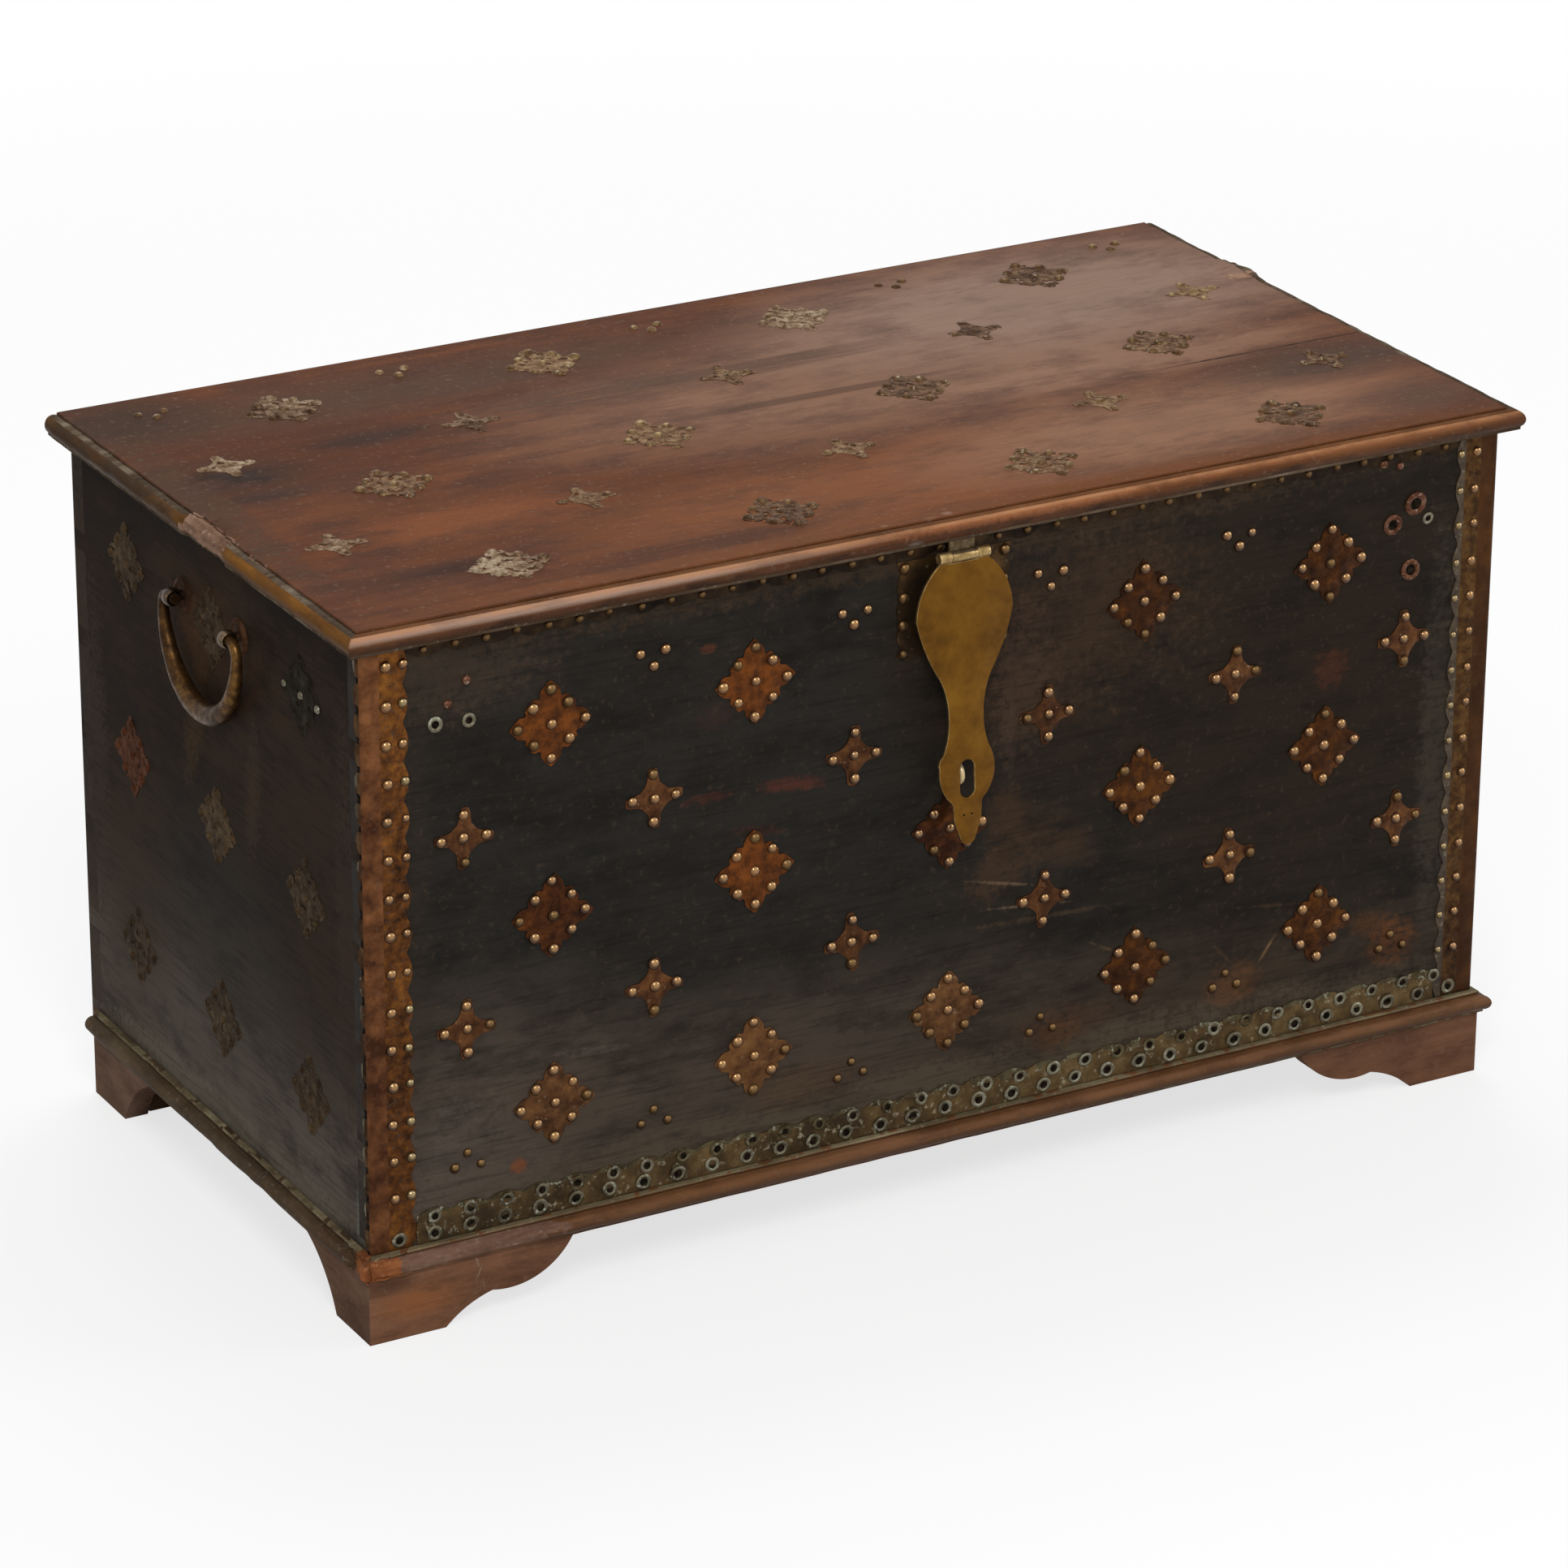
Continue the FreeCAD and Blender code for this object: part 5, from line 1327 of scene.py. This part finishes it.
# Along the front nose: a pale chip near the fillet, a pale wash on the upper nose at the left that is a
# painted highlight, and orange grit right of the middle
nose_marks_and_highlight = [
    ((-0.042, front_y - 0.018, carcase_top + 0.004), (0.009, 0.02, 0.004), level, "#a59c8e", 0.8, "wash"),
    ((-0.36, front_y - 0.012, carcase_top + 0.0135), (0.36, 0.03, 0.0045), level, "#b39887", 0.9, "wash"),
    ((0.05, front_y - 0.018, carcase_top + 0.012), (0.16, 0.02, 0.006), level, "#9a6040", 0.6, "grit"),
]
nose_teak = teak(
    "waxed_teak_front_nose",
    along="X",
    inward=(0, 0, -1),
    shades=["#56301a", "#724322", "#8a5831", "#341d0f"],
    streak=0.5,
    pores=0.25,
    haze=("#5f3b22", 0.5),
    flecks=("#8f7866", 0.25),
    shine=0.4,
    gloss=0.12,
    laid_marks=nose_marks_and_highlight,
    # The upper curve is tinted paler orange with a pale line at its top, a painted highlight; the front and
    # underside are tinted near black, painted shade
    tints_by_facing=[
        ((0, -0.6, 0.8), "#96603a", 0.7, 0.82, 1.0),
        ((0, -0.6, 0.8), "#b48661", 0.5, 0.97, 1.0),
        ((0, -0.6, -0.8), "#27160b", 0.95, -0.1, 0.75),
    ],
)
nose_z = carcase_top + 0.009
end_nose_rubs = [
    ((-half_length - 0.012, 0.17, nose_z), (0.06, 0.26, 0.06), level, "#32261c", 0.9, "clouds"),
    ((half_length + 0.012, 0.0, nose_z), (0.06, 0.50, 0.06), level, "#4a3527", 0.9, "clouds"),
]
# The end noses are tinted dark on their undersides, painted shade, and a darker brown on their up-facing
# faces
end_nose_teak = teak(
    "amber_teak_end_nose", along="Y", inward=(0, 0, -1),
    shades=["#4a2c10", "#6e4719", "#8a5c22", "#2a190b"], streak=0.4, pores=0.25, haze=("#5f3f18", 0.4),
    flecks=("#7a6a50", 0.2), shine=0.35, gloss=0.03, laid_marks=end_nose_rubs,
    tints_by_facing=[((-0.75, 0, -0.66), "#38210c", 0.85, 0.35, 0.95), ((0, 0, 1), "#5c3c1a", 0.5, 0.85, 1.0)],
)
pale_teak = teak(
    "broken_pale_teak", along="Y", inward=(0, 0, -1), shades=["#54392b", "#8a6c59", "#b0937d", "#3f2a1e"],
    streak=0.3, pores=0.5, haze=("#6b4a38", 0.6), flecks=("#c4b09c", 0.7), shine=0.75, gloss=0.03,
)
dusty_fillet = teak(
    "dusty_fillet_teak", along="X", inward=(0, 0, -1),
    shades=["#382b20", "#57493b", "#7c705f", "#251a12"], streak=0.5, pores=0.3, haze=("#33271d", 0.6),
    flecks=("#8d8374", 0.6), shine=0.6, gloss=0.01,
)
quirk_teak = teak(
    "waxed_teak_quirk", along="X", inward=(0, 0, -1), shades=["#472b17", "#643f25", "#7c5538", "#2f1c0f"],
    streak=0.5, pores=0.3, haze=("#402817", 0.5), flecks=("#8d7a66", 0.3), shine=0.5, gloss=0.02,
)
lid_thickness = lid_top - carcase_top
edging_seat = 0.014
edging_lift = 0.0002
lid_fillet = (0.0128, 0.0028)
lid_nose = (0.0157, 0.0080)
lid_quirk = (0.0046, 0.0160)
lid_profile = [(-edging_seat, edging_lift), (lid_fillet[0] - 0.0006, edging_lift), (lid_fillet[0], 0.0008)]
lid_profile += arc_through(lid_fillet, lid_nose, lid_quirk, 10)
lid_profile += [(lid_quirk[0], lid_thickness - 0.0008), (lid_quirk[0] - 0.0008, lid_thickness)]
lid_profile += [(-edging_seat, lid_thickness)]
edging_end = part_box("lid_edging_left")[1].y
edging_top, edging_nose, edging_hollow = range(3)


def edging_face(out, rise):
    """Which finish a face of the edging takes: the top's, the nose's or the hollow's."""
    if out < lid_quirk[0] - 0.0003 and rise > lid_thickness - 0.0010:
        return edging_top
    return edging_hollow if rise < lid_fillet[1] or rise > lid_quirk[1] + 0.0002 else edging_nose


edging_seat_out = 0.003
edging_finishes = [lid_teak, nose_teak, quirk_teak, dusty_fillet]
front_edging = moulded_run(lid_profile, 0.008, 2 * half_length, front_run(carcase_top))
for vert in front_edging.verts:
    if front_y - vert.co.y > edging_seat_out:
        vert.co.y += 0.0007 * max(0.0, noise.noise(vert.co / 0.04))
for face in front_edging.faces:
    centre = face.calc_center_median()
    rise = centre.z - carcase_top
    dusty = rise < lid_fillet[1]
    finish = edging_finishes.index(dusty_fillet) if dusty else edging_face(front_y - centre.y, rise)
    face.material_index = finish
piece("front_lid_edging", front_edging, edging_finishes, "lid", "lid_edging_front", sharp=40)
end_edging_finishes = [lid_teak, end_nose_teak, dusty_fillet, pale_teak]
break_front = -0.046
break_back = 0.026
splinter_front = -0.108
bump_middle = 0.135
bump_half = 0.030
bump_height = 0.0045
for side, name in ends:
    run = end_run(side, carcase_top, edging_end)
    end_edging = moulded_run(lid_profile, 0.004, edging_end - front_y, run)
    worn_depth = 0.0008 if side < 0 else 0.0016
    for vert in end_edging.verts:
        out = abs(vert.co.x) - half_length
        rough = noise.noise(vert.co / 0.007)
        if out > edging_seat_out:
            vert.co.x -= side * worn_depth * max(0.0, noise.noise(vert.co / 0.015) + 0.2)
        wander = 0.008 * rough
        if side < 0 and break_front + wander < vert.co.y < break_back + wander and out > 0.002:
            vert.co.x += 0.0026 + 0.0022 * noise.noise(vert.co / 0.005)
            vert.co.z -= 0.0008 * abs(rough)
        bump = max(0.0, 1 - abs(vert.co.y - bump_middle) / bump_half)
        if side > 0 and vert.co.z > lid_top - 0.004 and out > 0.001:
            vert.co.z += bump_height * bump**0.5 * (0.8 + 0.6 * rough)
    for face in end_edging.faces:
        centre = face.calc_center_median()
        out = abs(centre.x) - half_length
        rough = noise.noise(centre / 0.006)
        face.material_index = edging_face(out, centre.z - carcase_top)
        broken = break_front + 0.010 * rough < centre.y < break_back + 0.010 * rough and out > 0.0015
        split = splinter_front < centre.y < break_back and 0.0 < out < 0.006 and rough > 0.0
        lifted = bump_middle - bump_half < centre.y < bump_middle - 0.010 and centre.z > lid_top + 0.0005
        if (side < 0 and (broken or split) and centre.z > carcase_top + 0.003) or (side > 0 and lifted):
            face.material_index = end_edging_finishes.index(pale_teak)
    replaced = "lid_edging_" + name
    piece(name + "_lid_edging", end_edging, end_edging_finishes, "lid", replaced, sharp=40)

# Lid plates and studs: the same diamonds and stars, but torn and worn thin by what was set down on them.
# They are brown as the wood with bits of dull gold, some bleached pale, and their studs are low.
# Triplets follow the back edge.
lid_turn = Matrix.Identity(3)
lid_brass = brass(
    "worn_lid_brass", ["#38251a", "#5c432e", "#826a4c"], ("#9a8a6c", 0.62), 0.006, 0.6, metal=0.4,
    gloss=0.03,
)
bleached_brass = brass(
    "bleached_lid_brass", ["#3d291c", "#6b543f", "#998871"], ("#b5a994", 0.62), 0.006, 0.6, metal=0.3,
    gloss=0.03,
)
lid_stud_brass = brass(
    "worn_lid_stud_brass", ["#3b2819", "#5a432c", "#85704f"], ("#b0a48c", 0.58), 0.010, 0.5, metal=0.6,
    gloss=0.06,
)
lid_reach = 0.194
lid_star_margin = 0.060
lid_triplet_inset = 0.022
lid_x = even(-front_reach, front_reach, 4)
lid_y = even(centre_y - lid_reach, centre_y + lid_reach, 3)
lid_outer = half_length - lid_star_margin
lid_star_x = [-lid_outer] + between(lid_x) + [lid_outer]
lid_diamonds = [(column, row) for row in range(3) for column in range(4)]
lid_stars = [(column, row) for row in range(2) for column in range(5)]
bleached_diamonds = [(0, 0), (0, 2), (2, 2)]
bleached_stars = [(0, 0), (0, 1), (1, 1)]
lid_plate_z = lid_top - sheet + worn_skin
diamond_stud_sink = 0.0002
star_stud_sink = 0.0006
triplet_sink = 0.0004
lid_plates = bmesh.new()
lid_studs = bmesh.new()
for column, row in lid_diamonds:
    x, y = lid_x[column], lid_y[row]
    pale = int((column, row) in bleached_diamonds)
    place = at((x, y, lid_plate_z), lid_turn, luck.uniform(-0.1, 0.1))
    add_plate(lid_plates, diamond_reach, diamond_places(), place, worn_crown, 0.6, pale)
    for dx, dy in diamond_places():
        point = (x + dx, y + dy, lid_top - diamond_stud_sink)
        add_stud(lid_studs, dome, point, lid_turn, luck.uniform(0.85, 1.05), pale)
for column, row in lid_stars:
    x, y = lid_star_x[column], between(lid_y)[row]
    pale = int((column, row) in bleached_stars)
    place = at((x, y, lid_plate_z), lid_turn, luck.uniform(-0.1, 0.1))
    add_plate(lid_plates, star_reach, star_places(), place, worn_crown, 0.5, pale)
    for dx, dy in star_places():
        point = (x + dx, y + dy, lid_top - star_stud_sink)
        add_stud(lid_studs, dome, point, lid_turn, luck.uniform(0.7, 0.9), pale)
for x in lid_star_x:
    for dx, dy in triplet_places(1):
        point = (x + dx, back_y - lid_triplet_inset + dy, lid_top - triplet_sink)
        add_stud(lid_studs, dome, point, lid_turn, 0.9)
lid_finishes = [lid_brass, bleached_brass]
piece("lid_diamond_and_star_plates", lid_plates, lid_finishes, "lid", "lid_plates")
piece("lid_studs", lid_studs, [lid_stud_brass, bleached_brass], "lid", "lid_studs")

# Hasp: a long shaped plate of dull mustard-brown brass, hung from a knuckled leaf under the lid's edge.
# Its left-facing edges and knuckles are paler, rubbed and a painted highlight. Its slot drops over the
# staple, and two old pin holes show in its tab as discs of painted shade.
hasp_brass = brass("mustard_hasp_brass", ["#593a0e", "#6b4713", "#7a5418"], ("#523a14", 0.7), 0.02, 0.42)
pale_brass = brass("worn_and_highlit_brass_edge", ["#6b5230", "#957a4e", "#bfa674"], ("#8a7a58", 0.8), 0.01, 0.35)
# The leaf under the lid is dusty dark brown: dust, and painted shade from the lid above it
shaded_leaf_brass = brass("dusty_shaded_leaf_brass", ["#33271a", "#4f402c", "#6f5f46"], ("#857a66", 0.6), 0.01, 0.5)
pin_low, pin_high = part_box("hasp_pin")
hasp_axis = (pin_low + pin_high) / 2
hasp_lean = math.radians(3.3)
hasp_half_thickness = 0.00125
burr = Vector((-0.0215, 0, -0.164))
burr_reach = 0.004
burr_height = 0.0014
edge_round = 0.0009
sharp_turn = math.radians(50)
barrel_drop = 0.0055
leaf_rise = 0.003
pit_radius = 0.0009
pit_sides = 8
pit_stand = 0.0001
pits = [(-0.0035, 0.2085), (0.0035, 0.2085)]
leaning = Matrix.Rotation(-hasp_lean, 3, "X")
hasp_finishes = [hasp_brass, pale_brass, painted_hollow_shade, shaded_leaf_brass]
for name, body in [("hasp", "hasp"), ("hasp_lid_leaf", "lid")]:
    plate = bmesh.new()
    plate.from_mesh(nodes[name].data)
    bmesh.ops.remove_doubles(plate, verts=plate.verts, dist=0.000002)
    bmesh.ops.dissolve_limit(plate, angle_limit=math.radians(1), verts=plate.verts, edges=plate.edges)
    if name == "hasp":
        burr_place = hasp_axis + leaning @ burr
        for vert in plate.verts:
            if (vert.co - burr_place).length < burr_reach:
                vert.co.x -= burr_height
    solid = [edge for edge in plate.edges if edge.is_manifold]
    sharp = [edge for edge in solid if edge.calc_face_angle(0) > sharp_turn]
    bmesh.ops.bevel(
        plate, geom=sharp, offset=edge_round, segments=2, profile=0.5, affect="EDGES", material=-1,
        clamp_overlap=True,
    )
    plate.normal_update()
    for face in plate.faces:
        centre = face.calc_center_median()
        # Faces looking left and the knuckles are paler: wear, and a painted highlight
        rubbed_and_lit = face.normal.x < -0.25 or centre.z > hasp_axis.z - barrel_drop
        leaf = name == "hasp_lid_leaf" and centre.z > hasp_axis.z + leaf_rise
        metal = shaded_leaf_brass if leaf else pale_brass if rubbed_and_lit else hasp_brass
        face.material_index = hasp_finishes.index(metal)
    if name == "hasp":
        # Each pin hole is a small disc of painted shade, standing just off the tab
        for out, drop in pits:
            spot = Vector((out, -hasp_half_thickness - pit_stand, -drop))
            place = Matrix.Translation(hasp_axis + leaning @ spot) @ (leaning @ front_turn).to_4x4()
            turns = [math.tau * step / pit_sides for step in range(pit_sides)]
            rim = [Vector((math.cos(turn), math.sin(turn), 0)) * pit_radius for turn in turns]
            pit = plate.faces.new([plate.verts.new(place @ point) for point in rim])
            pit.material_index = hasp_finishes.index(painted_hollow_shade)
    piece(name + "_plate", plate, hasp_finishes, body, name)
dress(["hasp_pin"], pale_brass)

# Floor, light and camera: a pale studio floor and backdrop, soft lamps above and to both sides,
# and a long lens to the left of the front and a little above the lid.
floor_half = 12.0
floor_mesh = bmesh.new()
bmesh.ops.create_grid(floor_mesh, x_segments=1, y_segments=1, size=floor_half)
floor_data = as_mesh(floor_mesh, "studio_floor")
floor = bpy.data.objects.new("studio_floor", floor_data)
bpy.context.scene.collection.objects.link(floor)
paper, paper_tree, paper_shader, paper_where = new_material("white_studio_paper")
paper_shader.inputs["Base Color"].default_value = srgb("#f4f4f4")
paper_shader.inputs["Roughness"].default_value = 0.9
paper_shader.inputs["Specular IOR Level"].default_value = 0.0
paper_rays = add(paper_tree, "LightPath", {})
paper_glow = add(paper_tree, "Emission", {"Color": (1, 1, 1, 1), "Strength": 1.0})
# The paper keeps the chest's shadow near it, and turns plain white towards 3 m away
paper_reach = 3.8
paper_place = add(
    paper_tree, "Mapping", {"Vector": paper_where.outputs["Object"], "Scale": [1 / paper_reach] * 3}
)
paper_near = add(paper_tree, "TexGradient", {"Vector": paper_place.outputs[0]}, gradient_type="SPHERICAL")
paper_ramp = {1: 0.2, 2: 0.72, 3: 1.0, 4: 0.72}
paper_white = add(paper_tree, "MapRange", {"Value": paper_near.outputs["Fac"], **paper_ramp})
paper_seen = add(
    paper_tree, "Math", {0: paper_rays.outputs["Is Camera Ray"], 1: paper_white.outputs["Result"]},
    operation="MULTIPLY",
)
paper_mix = add(
    paper_tree, "MixShader",
    {0: paper_seen.outputs[0], 1: paper_shader.outputs[0], 2: paper_glow.outputs[0]},
)
paper_out = paper_tree.nodes["Material Output"]
paper_tree.links.new(paper_mix.outputs[0], paper_out.inputs["Surface"])
floor_data.materials.append(paper)

world = bpy.data.worlds.new("studio")
bpy.context.scene.world = world
world.use_nodes = True
world_tree = world.node_tree
world_rays = add(world_tree, "LightPath", {})
world_seen = add(
    world_tree, "Math", {0: world_rays.outputs["Is Camera Ray"], 1: world_rays.outputs["Is Glossy Ray"]},
    operation="MAXIMUM",
)
world_through = add(
    world_tree, "Math", {0: world_seen.outputs[0], 1: world_rays.outputs["Is Transmission Ray"]},
    operation="MAXIMUM",
)
# The world lights the chest softly, and shows as plain white
world_light = 0.42
world_white = 1.0
world_level = add(
    world_tree, "MapRange", {"Value": world_through.outputs[0], 3: world_light, 4: world_white}
)
backdrop = world_tree.nodes["Background"]
backdrop.inputs["Color"].default_value = (1, 1, 1, 1)
world_tree.links.new(world_level.outputs["Result"], backdrop.inputs["Strength"])

lamp_aim = Vector((0, centre_y, 0.35))


def softbox(name, place, size, power):
    """A square soft lamp that faces the middle of the chest."""
    data = bpy.data.lights.new(name, "AREA")
    data.size = size
    data.energy = power
    lamp = bpy.data.objects.new(name, data)
    lamp.location = place
    aim = lamp_aim - Vector(place)
    lamp.rotation_euler = aim.to_track_quat("-Z", "Y").to_euler()
    bpy.context.scene.collection.objects.link(lamp)


softbox("key_softbox", (-1.4, -2.6, 2.9), size=1.3, power=66.0)
softbox("top_softbox", (0.5, 1.3, 2.9), size=1.8, power=46.0)
softbox("side_softbox", (2.8, -1.6, 1.7), size=1.3, power=22.0)

camera_place = (-2.4203, -4.2627, 2.3308)
photo_side = 1932
lens_pixels = 8154.0
sensor = 36.0
camera_azimuth = math.radians(29.54)
camera_elevation = math.radians(22.87)
camera_roll = math.radians(0.336)
ahead = Vector(
    (
        math.cos(camera_elevation) * math.sin(camera_azimuth),
        math.cos(camera_elevation) * math.cos(camera_azimuth),
        -math.sin(camera_elevation),
    )
)
level_right = Vector((math.cos(camera_azimuth), -math.sin(camera_azimuth), 0))
level_up = level_right.cross(ahead)
camera_right = math.cos(camera_roll) * level_right + math.sin(camera_roll) * level_up
camera_up = math.cos(camera_roll) * level_up - math.sin(camera_roll) * level_right
camera_data = bpy.data.cameras.new("camera")
camera_data.sensor_width = sensor
camera_data.lens = lens_pixels / photo_side * sensor
camera = bpy.data.objects.new("camera", camera_data)
camera_turn = Matrix((camera_right, camera_up, -ahead)).transposed()
camera.matrix_world = Matrix.Translation(camera_place) @ camera_turn.to_4x4()
bpy.context.scene.collection.objects.link(camera)
bpy.context.scene.camera = camera
bpy.context.scene.view_settings.view_transform = "Standard"
